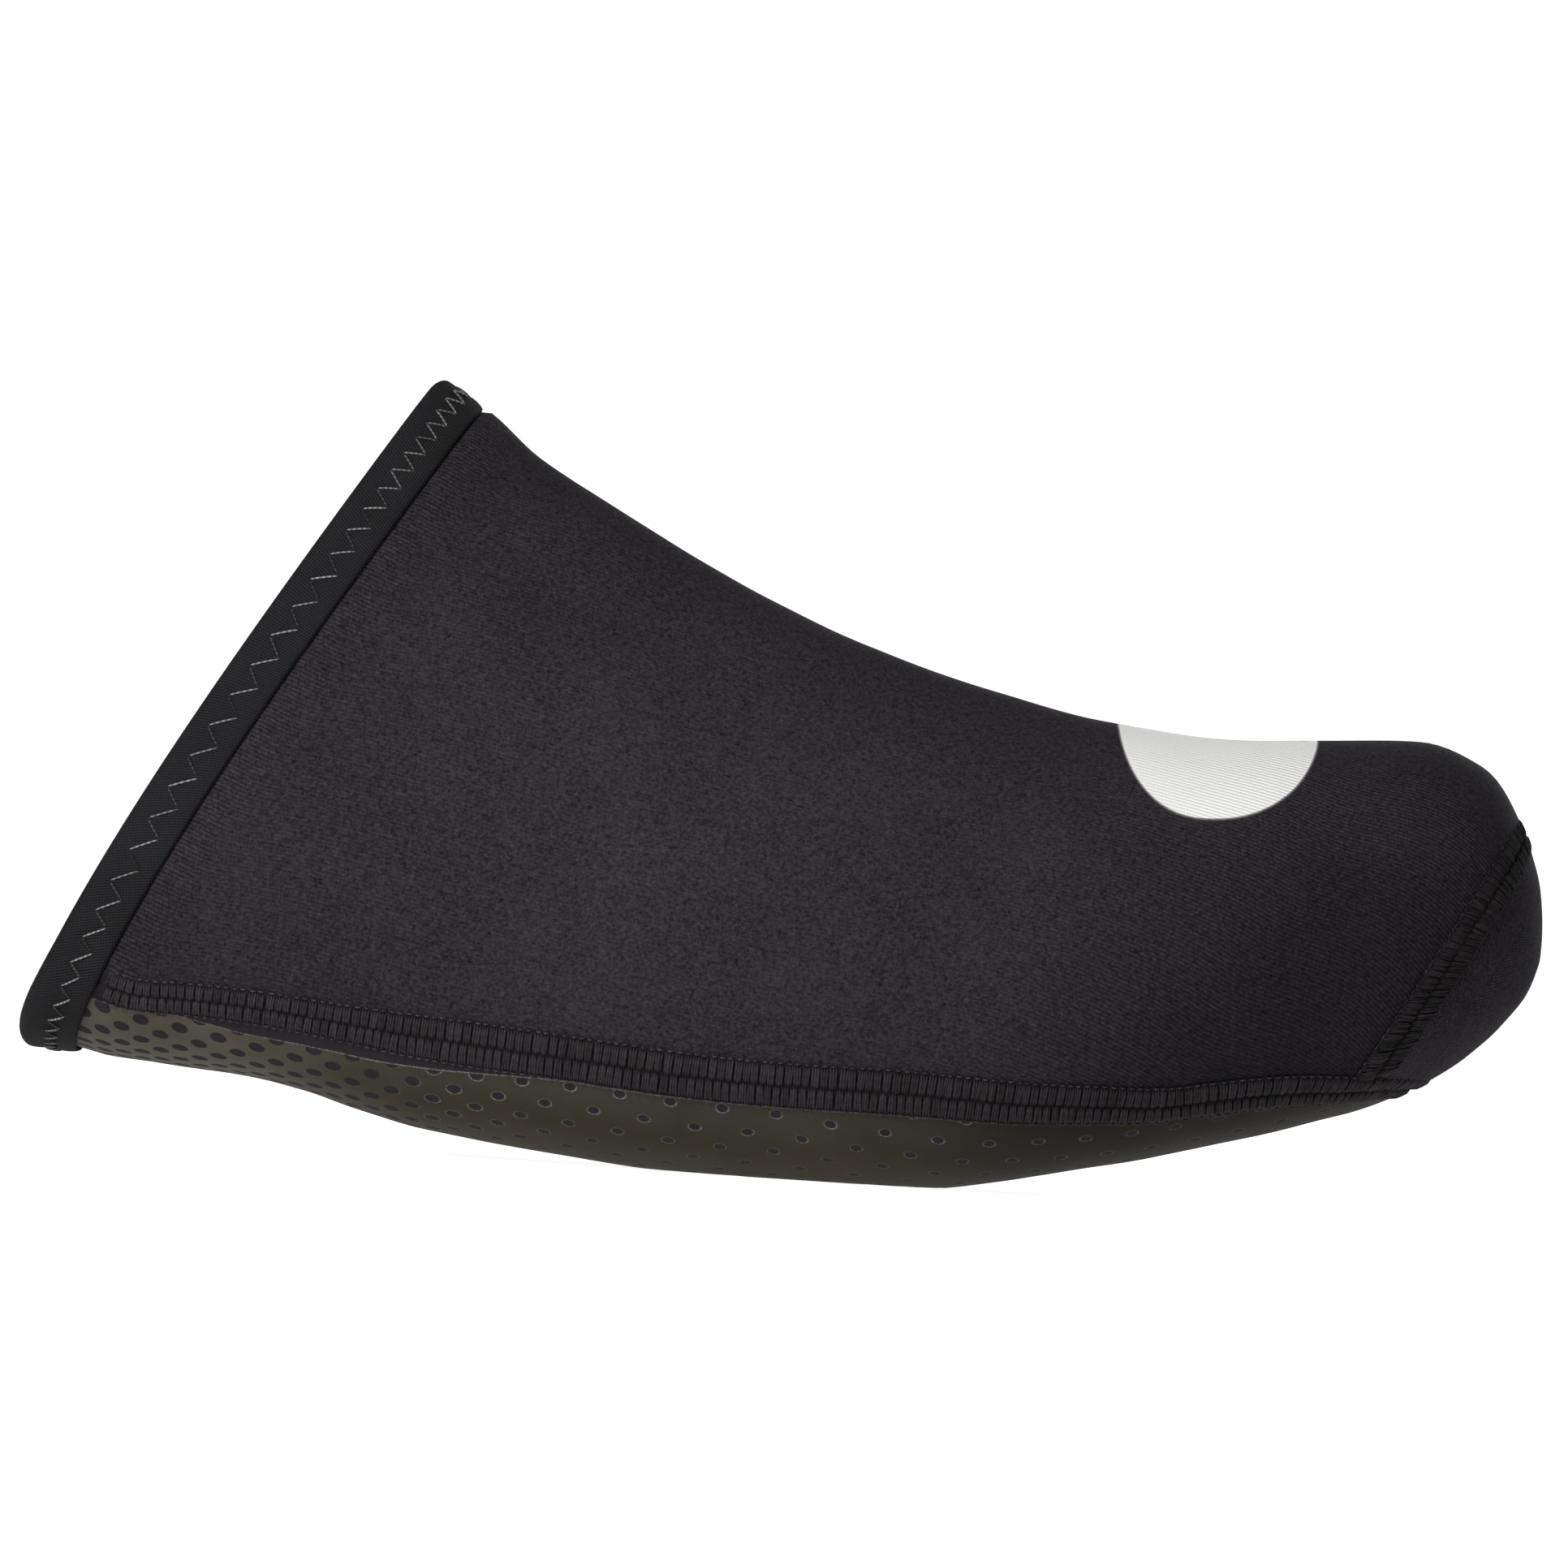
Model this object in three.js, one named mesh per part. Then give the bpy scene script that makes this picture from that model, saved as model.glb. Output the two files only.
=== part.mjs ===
import * as THREE from 'three';

// A cycling toe cover: a stretchy hood that is pulled over the front half of a cycling shoe.
// Lengths are millimetres, +X points to the toe, +Z is up and the cover stands on z = 0.
// It is the same on both sides of the XZ plane.

// Overall sizes of the form
const LENGTH = 200;
const BALL_WIDTH = 62;
const INSTEP_HEIGHT = 102.2;
const TOE_HEIGHT = 63.2;
const REAR_LIFT = 10.5;
const TOE_SPRING = 13;
const NOSE_HEIGHT = 30.2;
const NOSE_DEPTH = 13.6;
const COLLAR_LEAN_DEG = 29.7;
const COLLAR_BOW = 3.2;
const COLLAR_SETBACK = 2.7;

// Walls and the clearance between pieces that touch
const UPPER_WALL = 2.5;
const SOLE_WALL = 2.5;
const CLEARANCE = 0.3;

// The folded tape round the collar
const BINDING_WIDTH = 7.2;
const BINDING_WALL = 0.7;
const BINDING_FOLD_DEPTH = 1.6;

// The two raised seams
const SOLE_SEAM_WIDTH = 6.2;
const TOE_SEAM_WIDTH = 5;
const SEAM_RISE = 0.7;

// Shares that shape every section and the front end of the sole
const TUCK_SHARE = 0.55;
const BOW_LOWNESS = 0.68;
const SOLE_FRONT_FULLNESS = 2.3;

// Each section lies in a plane that leans forward as the collar does.
// along: where the plane meets the floor, as a share of LENGTH
// instep, toe: ridge height, as shares of the instep's extra height and of TOE_HEIGHT
// rear, spring: keel height, as shares of REAR_LIFT and TOE_SPRING (below 0 the sole is pressed flat)
// width: share of BALL_WIDTH; waist: height of the widest level, as a share of the section's height
// crown, side, belly: fullness of the ridge, of the flank and of the underside
// seam: place of the sole seam between the waist (0) and the keel (1); ribbon: its width's share
// bow: share of COLLAR_BOW and COLLAR_SETBACK by which the section bends to the rear
const BODY_SECTIONS = [
  { along: -0.034, instep: 1.000, toe: 1.000, rear: 1.13, spring: 0, width: 0.895, waist: 0.15,
    crown: 0.50, side: 0.45, belly: 0.78, seam: 0.17, ribbon: 0.55, bow: 1 },
  { along: -0.014, instep: 0.955, toe: 1.000, rear: 1.10, spring: 0, width: 0.900, waist: 0.15,
    crown: 0.50, side: 0.45, belly: 0.78, seam: 0.18, ribbon: 0.55, bow: 1 },
  { along: 0.006, instep: 0.908, toe: 1.000, rear: 1.06, spring: 0, width: 0.905, waist: 0.15,
    crown: 0.50, side: 0.45, belly: 0.78, seam: 0.19, ribbon: 0.55, bow: 0.97 },
  { along: 0.030, instep: 0.844, toe: 1.000, rear: 0.980, spring: 0, width: 0.915, waist: 0.15,
    crown: 0.49, side: 0.45, belly: 0.78, seam: 0.20, ribbon: 0.57, bow: 0.85 },
  { along: 0.065, instep: 0.747, toe: 1.000, rear: 0.930, spring: 0, width: 0.925, waist: 0.165,
    crown: 0.48, side: 0.44, belly: 0.77, seam: 0.21, ribbon: 0.60, bow: 0.5 },
  { along: 0.120, instep: 0.617, toe: 1.000, rear: 0.830, spring: 0, width: 0.945, waist: 0.19,
    crown: 0.46, side: 0.43, belly: 0.76, seam: 0.235, ribbon: 0.66, bow: 0.15 },
  { along: 0.170, instep: 0.508, toe: 1.000, rear: 0.680, spring: 0, width: 0.960, waist: 0.225,
    crown: 0.44, side: 0.42, belly: 0.75, seam: 0.27, ribbon: 0.78, bow: 0 },
  { along: 0.210, instep: 0.426, toe: 1.000, rear: 0.495, spring: 0, width: 0.970, waist: 0.26,
    crown: 0.42, side: 0.41, belly: 0.73, seam: 0.28, ribbon: 0.92, bow: 0 },
  { along: 0.260, instep: 0.331, toe: 1.000, rear: 0.305, spring: 0, width: 0.985, waist: 0.29,
    crown: 0.40, side: 0.40, belly: 0.71, seam: 0.275, ribbon: 1, bow: 0 },
  { along: 0.340, instep: 0.200, toe: 1.000, rear: 0.130, spring: 0, width: 1.000, waist: 0.32,
    crown: 0.375, side: 0.40, belly: 0.69, seam: 0.275, ribbon: 1, bow: 0 },
  { along: 0.440, instep: 0.073, toe: 1.000, rear: -0.035, spring: 0, width: 1.000, waist: 0.335,
    crown: 0.35, side: 0.40, belly: 0.68, seam: 0.26, ribbon: 1, bow: 0 },
  { along: 0.520, instep: 0, toe: 1.000, rear: -0.085, spring: 0, width: 0.980, waist: 0.35,
    crown: 0.34, side: 0.40, belly: 0.68, seam: 0.25, ribbon: 1, bow: 0 },
  { along: 0.600, instep: 0, toe: 0.978, rear: -0.035, spring: 0, width: 0.945, waist: 0.36,
    crown: 0.34, side: 0.41, belly: 0.67, seam: 0.275, ribbon: 1, bow: 0 },
  { along: 0.670, instep: 0, toe: 0.988, rear: 0, spring: 0.185, width: 0.900, waist: 0.36,
    crown: 0.40, side: 0.43, belly: 0.65, seam: 0.345, ribbon: 1, bow: 0 },
  { along: 0.730, instep: 0, toe: 1.000, rear: 0, spring: 0.427, width: 0.855, waist: 0.36,
    crown: 0.48, side: 0.46, belly: 0.62, seam: 0.405, ribbon: 1, bow: 0 },
  { along: 0.780, instep: 0, toe: 0.957, rear: 0, spring: 0.664, width: 0.790, waist: 0.37,
    crown: 0.52, side: 0.49, belly: 0.60, seam: 0.405, ribbon: 1, bow: 0 },
  { along: 0.837, instep: 0, toe: 0.820, rear: 0, spring: 1.000, width: 0.697, waist: 0.40,
    crown: 0.54, side: 0.52, belly: 0.58, seam: 0.405, ribbon: 1, bow: 0 },
];

// The nose goes on from the last body section to one foremost point.
// forward: share of NOSE_DEPTH; upper, lower: shares of the last body section's height above and
// below NOSE_HEIGHT; width: share of its width; waist: as in the body's table
const NOSE_SECTIONS = [
  { forward: 0.190, upper: 0.876, lower: 0.921, width: 0.926, waist: 0.42 },
  { forward: 0.412, upper: 0.721, lower: 0.814, width: 0.820, waist: 0.44 },
  { forward: 0.632, upper: 0.532, lower: 0.674, width: 0.678, waist: 0.46 },
  { forward: 0.780, upper: 0.387, lower: 0.536, width: 0.546, waist: 0.48 },
  { forward: 0.853, upper: 0.307, lower: 0.427, width: 0.458, waist: 0.49 },
  { forward: 0.926, upper: 0.213, lower: 0.289, width: 0.336, waist: 0.51 },
  { forward: 1.000, upper: 0.000, lower: 0.000, width: 0.000, waist: 0.52 },
];
const NOSE_ROUNDNESS = { crown: 0.55, side: 0.54, belly: 0.56, seam: 0.405, ribbon: 1, bow: 0 };

// Where the sole's outline starts to round towards its front end, and where that end lies
const SOLE_ROUNDING_SECTION = 14;
const SOLE_FRONT_FORWARD = 0.5;

// How finely each piece is cut
const FLANK_STEPS = 10;
const TUCK_STEPS = 4;
const UNDER_STEPS = 6;
const BODY_STEPS = 28;
const SOLE_FRONT_STEPS = 9;
const NOSE_STEPS = 6;
const TOE_UNDER_STEPS = 4;
const SEAM_BODY_STEPS = 26;
const SEAM_FRONT_STEPS = 14;
const BINDING_FOLD_STEPS = 4;
const EDGE_SAMPLES = 160;

const LEAN = Math.tan(THREE.MathUtils.degToRad(COLLAR_LEAN_DEG));
const FOREMOST_NORMAL = new THREE.Vector3(1, 0, -LEAN).normalize();

function bodySection(row) {
  return {
    ...row,
    foot: row.along * LENGTH,
    ridge: row.toe * TOE_HEIGHT + row.instep * (INSTEP_HEIGHT - TOE_HEIGHT),
    keel: row.rear * REAR_LIFT + row.spring * TOE_SPRING,
    halfWidth: row.width * BALL_WIDTH / 2,
  };
}

function noseSection(row, last) {
  return {
    ...NOSE_ROUNDNESS,
    foot: last.foot + row.forward * NOSE_DEPTH,
    ridge: NOSE_HEIGHT + row.upper * (last.ridge - NOSE_HEIGHT),
    keel: NOSE_HEIGHT - row.lower * (NOSE_HEIGHT - last.keel),
    halfWidth: row.width * last.halfWidth,
    waist: row.waist,
  };
}

// A section mirrored past the foremost point, so that curves run through it smoothly
function pastNose(section) {
  return {
    ...section,
    ridge: 2 * NOSE_HEIGHT - section.ridge,
    keel: 2 * NOSE_HEIGHT - section.keel,
    halfWidth: -section.halfWidth,
  };
}

const body = BODY_SECTIONS.map(bodySection);
const nose = NOSE_SECTIONS.map((row) => noseSection(row, body.at(-1)));
const sections = [...body, ...nose];
const ghosts = [sections.at(-2), sections.at(-3)].map(pastNose);

// Stations are measured along the ridge, from the collar's edge to the foremost point
function ridgeStep(from, to) {
  const rise = to.ridge - from.ridge;
  return Math.hypot(to.foot - from.foot + rise * LEAN, rise);
}

const allSections = [...sections, ...ghosts];
const stations = [0];
for (let i = 1; i < allSections.length; i += 1) {
  stations.push(stations[i - 1] + ridgeStep(allSections[i - 1], allSections[i]));
}
const TOE_SEAM_STATION = stations[body.length - 1];
const NOSE_STATION = stations[sections.length - 1];

// A smooth curve through the sections' values that never overshoots them
function monotoneCurve(values) {
  const secants = values.slice(1).map((v, i) => (v - values[i]) / (stations[i + 1] - stations[i]));
  const slopes = values.map((_, i) => {
    if (i === 0) return secants[0];
    if (i === values.length - 1) return secants.at(-1);
    const before = secants[i - 1];
    const after = secants[i];
    return before * after <= 0 ? 0 : 2 * before * after / (before + after);
  });
  return (station) => {
    const found = stations.findIndex((value) => value > station);
    const i = found < 0 ? stations.length - 2 : Math.max(found - 1, 0);
    const step = stations[i + 1] - stations[i];
    const t = (station - stations[i]) / step;
    const u = 1 - t;
    return values[i] * u * u * (1 + 2 * t) + values[i + 1] * t * t * (1 + 2 * u)
      + step * t * u * (slopes[i] * u - slopes[i + 1] * t);
  };
}

const COLUMNS = ['foot', 'ridge', 'keel', 'halfWidth', 'waist', 'crown', 'side', 'belly', 'seam',
  'ribbon', 'bow'];
const curves = COLUMNS.map((name) => monotoneCurve(allSections.map((section) => section[name])));
const sectionCache = new Map();

function sectionAt(station) {
  if (!sectionCache.has(station)) {
    const values = COLUMNS.map((name, i) => [name, curves[i](station)]);
    sectionCache.set(station, Object.fromEntries(values));
  }
  return sectionCache.get(station);
}

function bezier(a, b, c, d, t) {
  const u = 1 - t;
  return a * u * u * u + 3 * b * u * u * t + 3 * c * u * t * t + d * t * t * t;
}

// The outer skin. around runs 0 at the ridge, 1 at the waist and 2 at the keel on the +Y side,
// and on from 2 to 4, or from 0 to -2, on the -Y side.
function skin(station, around) {
  const s = sectionAt(station);
  const turn = around > 2 ? around - 4 : around;
  const part = Math.abs(turn);
  const height = s.ridge - s.keel;
  const waist = s.keel + s.waist * height;
  const tuck = waist - TUCK_SHARE * (waist - s.keel);
  const flank = waist + s.side * (s.ridge - waist);
  const upperPart = part <= 1;
  const y = upperPart
    ? bezier(0, s.crown * s.halfWidth, s.halfWidth, s.halfWidth, part)
    : bezier(s.halfWidth, s.halfWidth, s.belly * s.halfWidth, 0, part - 1);
  const z = upperPart
    ? bezier(s.ridge, s.ridge, flank, waist, part)
    : bezier(waist, tuck, s.keel, s.keel, part - 1);
  const share = s.bow > 0 ? THREE.MathUtils.clamp((z - s.keel) / height, 0, 1) : 0;
  const bow = COLLAR_BOW * Math.sin(Math.PI * share ** BOW_LOWNESS);
  const bend = s.bow * (bow + COLLAR_SETBACK * share);
  const level = Math.max(z, 0);
  return new THREE.Vector3(s.foot + level * LEAN - bend, Math.sign(turn) * y, level);
}

// Small steps for measuring slopes, and how close two places count as one
const STATION_STEP = 0.2;
const AROUND_STEP = 0.01;
const TRAVEL_STEP = 0.004;
const SAME_STATION = 1e-6;
const SAME_PLACE = 1e-3;

function skinSlopes(station, around) {
  const ahead = skin(station + STATION_STEP, around);
  const behind = skin(station - STATION_STEP, around);
  const next = skin(station, around + AROUND_STEP);
  const previous = skin(station, around - AROUND_STEP);
  return {
    along: ahead.sub(behind).divideScalar(2 * STATION_STEP),
    across: next.sub(previous).divideScalar(2 * AROUND_STEP),
  };
}

function skinNormal(station, around) {
  if (station > NOSE_STATION - STATION_STEP) return FOREMOST_NORMAL.clone();
  const { along, across } = skinSlopes(station, around);
  return along.cross(across).normalize();
}

function lifted(place, lift) {
  return skin(place.station, place.around)
    .addScaledVector(skinNormal(place.station, place.around), lift);
}

// The sole seam runs from the collar along the +Y side, round the sole's front end and back
const ROUNDING_STATION = stations[SOLE_ROUNDING_SECTION];
const SOLE_FRONT_STATION = frontStation();
const OPEN_SHARE = 1 - body[SOLE_ROUNDING_SECTION].seam;

function frontStation() {
  const foot = body.at(-1).foot + SOLE_FRONT_FORWARD * NOSE_DEPTH;
  const next = nose.findIndex((section) => section.foot > foot);
  const share = (foot - nose[next - 1].foot) / (nose[next].foot - nose[next - 1].foot);
  return THREE.MathUtils.lerp(stations[body.length + next - 1], stations[body.length + next], share);
}

function roundedPlace(angle) {
  const power = 2 / SOLE_FRONT_FULLNESS;
  const open = Math.sign(Math.cos(angle)) * Math.abs(Math.cos(angle)) ** power;
  return {
    station: THREE.MathUtils.lerp(ROUNDING_STATION, SOLE_FRONT_STATION, Math.sin(angle) ** power),
    around: 2 - OPEN_SHARE * open,
  };
}

function straightPlace(station) {
  return { station, around: 1 + sectionAt(station).seam };
}

function seamPlace(travel) {
  if (travel < 1) return straightPlace(ROUNDING_STATION * travel);
  return roundedPlace((travel - 1) * Math.PI / 2);
}

// Moves a place on the seam over the skin, at right angles to the seam; towards the sole is positive
function besideSeam(travel, distance) {
  const place = seamPlace(travel);
  const before = seamPlace(travel - TRAVEL_STEP);
  const after = seamPlace(travel + TRAVEL_STEP);
  const { along, across } = skinSlopes(place.station, place.around);
  const normal = along.clone().cross(across).normalize();
  const heading = along.clone().multiplyScalar(after.station - before.station)
    .addScaledVector(across, after.around - before.around);
  const aside = normal.cross(heading).normalize().multiplyScalar(distance);
  const aa = along.dot(along);
  const ac = along.dot(across);
  const cc = across.dot(across);
  const ap = along.dot(aside);
  const cp = across.dot(aside);
  const scale = aa * cc - ac * ac;
  return {
    station: place.station + (ap * cc - cp * ac) / scale,
    around: place.around + (cp * aa - ap * ac) / scale,
  };
}

// The line beside the seam at a distance that may change with the station, as around for a station
function seamSide(distanceAt) {
  const line = [];
  for (let i = 0; i <= EDGE_SAMPLES; i += 1) {
    const travel = 2 * i / EDGE_SAMPLES;
    line.push(besideSeam(travel, distanceAt(seamPlace(travel).station)));
  }
  const front = line.at(-1).station;
  const aroundAt = (station) => {
    if (station >= front - SAME_STATION) return 2;
    const next = Math.max(line.findIndex((place) => place.station > station), 1);
    const [from, to] = [line[next - 1], line[next]];
    const share = (station - from.station) / (to.station - from.station);
    return THREE.MathUtils.lerp(from.around, to.around, share);
  };
  return { front, aroundAt };
}

function steps(from, to, count) {
  return Array.from({ length: count + 1 }, (_, i) => THREE.MathUtils.lerp(from, to, i / count));
}

// Stations that crowd together towards a rounded front end
function roundedSteps(from, to, count) {
  const power = 2 / SOLE_FRONT_FULLNESS;
  const reach = to - ROUNDING_STATION;
  const start = Math.asin(((from - ROUNDING_STATION) / reach) ** (1 / power));
  return steps(start, Math.PI / 2, count)
    .map((angle) => ROUNDING_STATION + reach * Math.sin(angle) ** power);
}

// Places over the ridge from one side's edge to the other's
function overRidge(edge) {
  const side = [...steps(0, 1, FLANK_STEPS), ...steps(1, edge, TUCK_STEPS).slice(1)];
  return [...side.slice(1).reverse().map((around) => -around), ...side];
}

function underKeel(edge) {
  return steps(edge, 4 - edge, 2 * UNDER_STEPS);
}

function solid(name, positions, index, material) {
  const numbers = positions.flatMap((point) => point.toArray());
  const geometry = new THREE.BufferGeometry();
  geometry.setAttribute('position', new THREE.Float32BufferAttribute(numbers, 3));
  geometry.setIndex(index);
  const flat = geometry.toNonIndexed();
  flat.computeVertexNormals();
  const mesh = new THREE.Mesh(flat, material);
  mesh.name = name;
  return mesh;
}

// A closed sheet over a grid of places, between an outer and an inner lift from the skin.
// Places that coincide become one, and every open edge gets a rim.
function sheet(name, grid, outerLift, innerLift, material) {
  const keys = new Map();
  const outer = [];
  const inner = [];
  const ids = grid.map((row, i) => row.map((place, j) => {
    const point = lifted(place, outerLift(i, j));
    const key = point.toArray().map((value) => Math.round(value / SAME_PLACE)).join();
    if (!keys.has(key)) {
      keys.set(key, outer.length);
      outer.push(point);
      inner.push(lifted(place, innerLift(i, j)));
    }
    return keys.get(key);
  }));
  const triangles = [];
  for (let i = 0; i + 1 < ids.length; i += 1) {
    for (let j = 0; j + 1 < ids[i].length; j += 1) {
      const [a, b, c, d] = [ids[i][j], ids[i + 1][j], ids[i + 1][j + 1], ids[i][j + 1]];
      triangles.push([a, b, c], [a, c, d]);
    }
  }
  const faces = triangles.filter(([a, b, c]) => a !== b && b !== c && c !== a);
  const directed = new Set(faces.flatMap(([a, b, c]) => [`${a},${b}`, `${b},${c}`, `${c},${a}`]));
  const count = outer.length;
  const index = [];
  for (const [a, b, c] of faces) {
    index.push(a, b, c, a + count, c + count, b + count);
    for (const [p, q] of [[a, b], [b, c], [c, a]]) {
      if (!directed.has(`${q},${p}`)) index.push(q, p, p + count, q, p + count, q + count);
    }
  }
  return solid(name, [...outer, ...inner], index, material);
}

// A profile of places beside the skin, carried all round the collar and closed on itself
function ring(name, arounds, profile, material) {
  const points = arounds.flatMap((around) => profile
    .map(({ station, lift }) => lifted({ station, around }, lift)));
  const index = [];
  for (let i = 0; i < arounds.length; i += 1) {
    for (let j = 0; j < profile.length; j += 1) {
      const row = i * profile.length;
      const nextRow = ((i + 1) % arounds.length) * profile.length;
      const k = (j + 1) % profile.length;
      index.push(row + j, nextRow + j, nextRow + k, row + j, nextRow + k, row + k);
    }
  }
  return solid(name, points, index, material);
}

const fabric = new THREE.MeshStandardMaterial({ color: 0x19171a, roughness: 0.9, metalness: 0 });
const bumperFabric = new THREE.MeshStandardMaterial({ color: 0x151417, roughness: 0.9, metalness: 0 });
const coating = new THREE.MeshStandardMaterial({ color: 0x3a3a30, roughness: 0.6, metalness: 0 });
const tape = new THREE.MeshStandardMaterial({ color: 0x101214, roughness: 0.8, metalness: 0 });
const thread = new THREE.MeshStandardMaterial({ color: 0x1f1e22, roughness: 0.95, metalness: 0 });

const PANEL_START = BINDING_FOLD_DEPTH + CLEARANCE;
const HALF_CLEARANCE = CLEARANCE / 2;
const upperEdge = seamSide(() => -HALF_CLEARANCE);
const soleEdge = seamSide(() => HALF_CLEARANCE);
const seamWidthAt = (station) => SOLE_SEAM_WIDTH * sectionAt(station).ribbon;

function makeUpper() {
  const rows = steps(PANEL_START, TOE_SEAM_STATION - HALF_CLEARANCE, BODY_STEPS);
  const grid = rows.map((station) => overRidge(upperEdge.aroundAt(station))
    .map((around) => ({ station, around })));
  return sheet('upper', grid, () => 0, () => -UPPER_WALL, fabric);
}

function makeToeBumper() {
  const rows = [
    ...roundedSteps(TOE_SEAM_STATION + HALF_CLEARANCE, upperEdge.front, TOE_UNDER_STEPS),
    ...steps(upperEdge.front, NOSE_STATION, NOSE_STEPS).slice(1),
  ];
  const grid = rows.map((station) => overRidge(upperEdge.aroundAt(station))
    .map((around) => ({ station, around })));
  return sheet('toe_bumper', grid, () => 0, () => -UPPER_WALL, bumperFabric);
}

function makeSole() {
  const rows = [
    ...steps(PANEL_START, ROUNDING_STATION, BODY_STEPS),
    ...roundedSteps(ROUNDING_STATION, soleEdge.front, SOLE_FRONT_STEPS).slice(1),
  ];
  const grid = rows.map((station) => underKeel(soleEdge.aroundAt(station))
    .map((around) => ({ station, around })));
  return sheet('sole', grid, () => 0, () => -SOLE_WALL, coating);
}

// Two ribs of thread with a furrow between them: place across the width, and share of the rise
const SEAM_PROFILE = [
  { across: -0.5, rise: 0.35 },
  { across: -0.3, rise: 1.0 },
  { across: 0, rise: 0.5 },
  { across: 0.3, rise: 1.0 },
  { across: 0.5, rise: 0.35 },
];

function makeSoleSeam() {
  const start = BINDING_WIDTH + CLEARANCE;
  const travels = [
    ...steps(start / ROUNDING_STATION, 1, SEAM_BODY_STEPS),
    ...steps(1, 2, SEAM_FRONT_STEPS).slice(1),
  ];
  const grid = travels.map((travel) => {
    const width = seamWidthAt(seamPlace(travel).station);
    return SEAM_PROFILE.map(({ across }) => besideSeam(travel, across * width));
  });
  grid[0] = grid[0].map(({ around }) => ({ station: start, around }));
  const mirrored = grid.slice(0, -1).reverse()
    .map((row) => row.map((place) => ({ station: place.station, around: 4 - place.around })));
  return sheet('sole_seam', [...grid, ...mirrored],
    (i, j) => CLEARANCE + SEAM_RISE * SEAM_PROFILE[j].rise, () => CLEARANCE, thread);
}

function makeToeSeam() {
  const edge = seamSide((station) => -seamWidthAt(station) / 2 - CLEARANCE);
  const grid = SEAM_PROFILE.map(({ across }) => {
    const station = TOE_SEAM_STATION + across * TOE_SEAM_WIDTH;
    return overRidge(edge.aroundAt(station)).map((around) => ({ station, around }));
  });
  return sheet('toe_seam', grid,
    (i) => CLEARANCE + SEAM_RISE * SEAM_PROFILE[i].rise, () => CLEARANCE, thread);
}

function makeCollarBinding() {
  const outside = CLEARANCE;
  const inside = -Math.max(UPPER_WALL, SOLE_WALL) - CLEARANCE;
  const middle = (outside + inside) / 2;
  const radius = outside + BINDING_WALL - middle;
  const fold = steps(Math.PI / 2, -Math.PI / 2, BINDING_FOLD_STEPS).map((angle) => ({
    station: BINDING_FOLD_DEPTH * (1 - Math.cos(angle)),
    lift: middle + radius * Math.sin(angle),
  }));
  const profile = [
    { station: BINDING_WIDTH, lift: outside },
    { station: BINDING_WIDTH, lift: outside + BINDING_WALL },
    ...fold,
    { station: BINDING_WIDTH, lift: inside - BINDING_WALL },
    { station: BINDING_WIDTH, lift: inside },
    { station: BINDING_FOLD_DEPTH, lift: inside },
    { station: BINDING_FOLD_DEPTH, lift: outside },
  ];
  const seam = straightPlace(0).around;
  const arounds = [...overRidge(seam), ...underKeel(seam).slice(1, -1)];
  return ring('collar_binding', arounds, profile, tape);
}

const cover = new THREE.Group();
cover.add(makeUpper(), makeToeBumper(), makeSole(), makeCollarBinding());
cover.add(makeSoleSeam(), makeToeSeam());

// The origin lies on the floor under the middle of the cover
const middle = new THREE.Box3().setFromObject(cover).getCenter(new THREE.Vector3());
cover.position.x = -middle.x;
cover.updateMatrixWorld(true);

export default cover;
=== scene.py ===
"""Looks of a cycling toe cover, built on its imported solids.

The cover is a black neoprene hood faced with jersey, with a coated sole, a folded elastic
binding round the collar and two flat seams. Each soft piece is made again here on the skin
that its solid has, with its folds, threads, stitches and holes. Lengths are metres.
"""

import math
import random

import bmesh
import bpy
import numpy as np
from mathutils import Matrix, Vector, noise


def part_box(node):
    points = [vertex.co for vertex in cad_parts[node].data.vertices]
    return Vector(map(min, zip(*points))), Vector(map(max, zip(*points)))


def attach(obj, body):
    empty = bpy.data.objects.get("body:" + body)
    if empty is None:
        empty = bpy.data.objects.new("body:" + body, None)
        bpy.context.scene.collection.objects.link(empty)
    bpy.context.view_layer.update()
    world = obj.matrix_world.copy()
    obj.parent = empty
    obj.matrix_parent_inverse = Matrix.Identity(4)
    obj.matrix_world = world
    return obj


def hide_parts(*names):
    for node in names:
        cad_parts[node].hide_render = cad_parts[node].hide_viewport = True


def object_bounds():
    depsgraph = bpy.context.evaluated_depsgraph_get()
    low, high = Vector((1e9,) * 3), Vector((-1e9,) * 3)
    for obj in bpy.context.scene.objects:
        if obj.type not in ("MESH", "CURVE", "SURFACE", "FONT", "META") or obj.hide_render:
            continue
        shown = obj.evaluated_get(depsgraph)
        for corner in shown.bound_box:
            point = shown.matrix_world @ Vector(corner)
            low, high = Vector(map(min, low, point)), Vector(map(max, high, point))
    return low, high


bl_info = {
    "name": "Cycling toe cover",
    "version": (1, 0, 0),
    "blender": (4, 5, 0),
    "location": "View3D > Sidebar > Toe cover",
    "description": "Builds the soft pieces, stitches and stage of a cycling toe cover",
    "category": "Object",
}

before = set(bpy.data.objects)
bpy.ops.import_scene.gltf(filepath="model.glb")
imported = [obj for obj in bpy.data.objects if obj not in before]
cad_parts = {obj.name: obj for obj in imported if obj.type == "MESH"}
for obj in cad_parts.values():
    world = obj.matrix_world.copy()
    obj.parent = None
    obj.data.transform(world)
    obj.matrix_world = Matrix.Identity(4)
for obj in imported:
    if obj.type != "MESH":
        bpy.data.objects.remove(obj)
CAD_LOW, CAD_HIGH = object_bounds()

MM = 0.001

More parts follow.
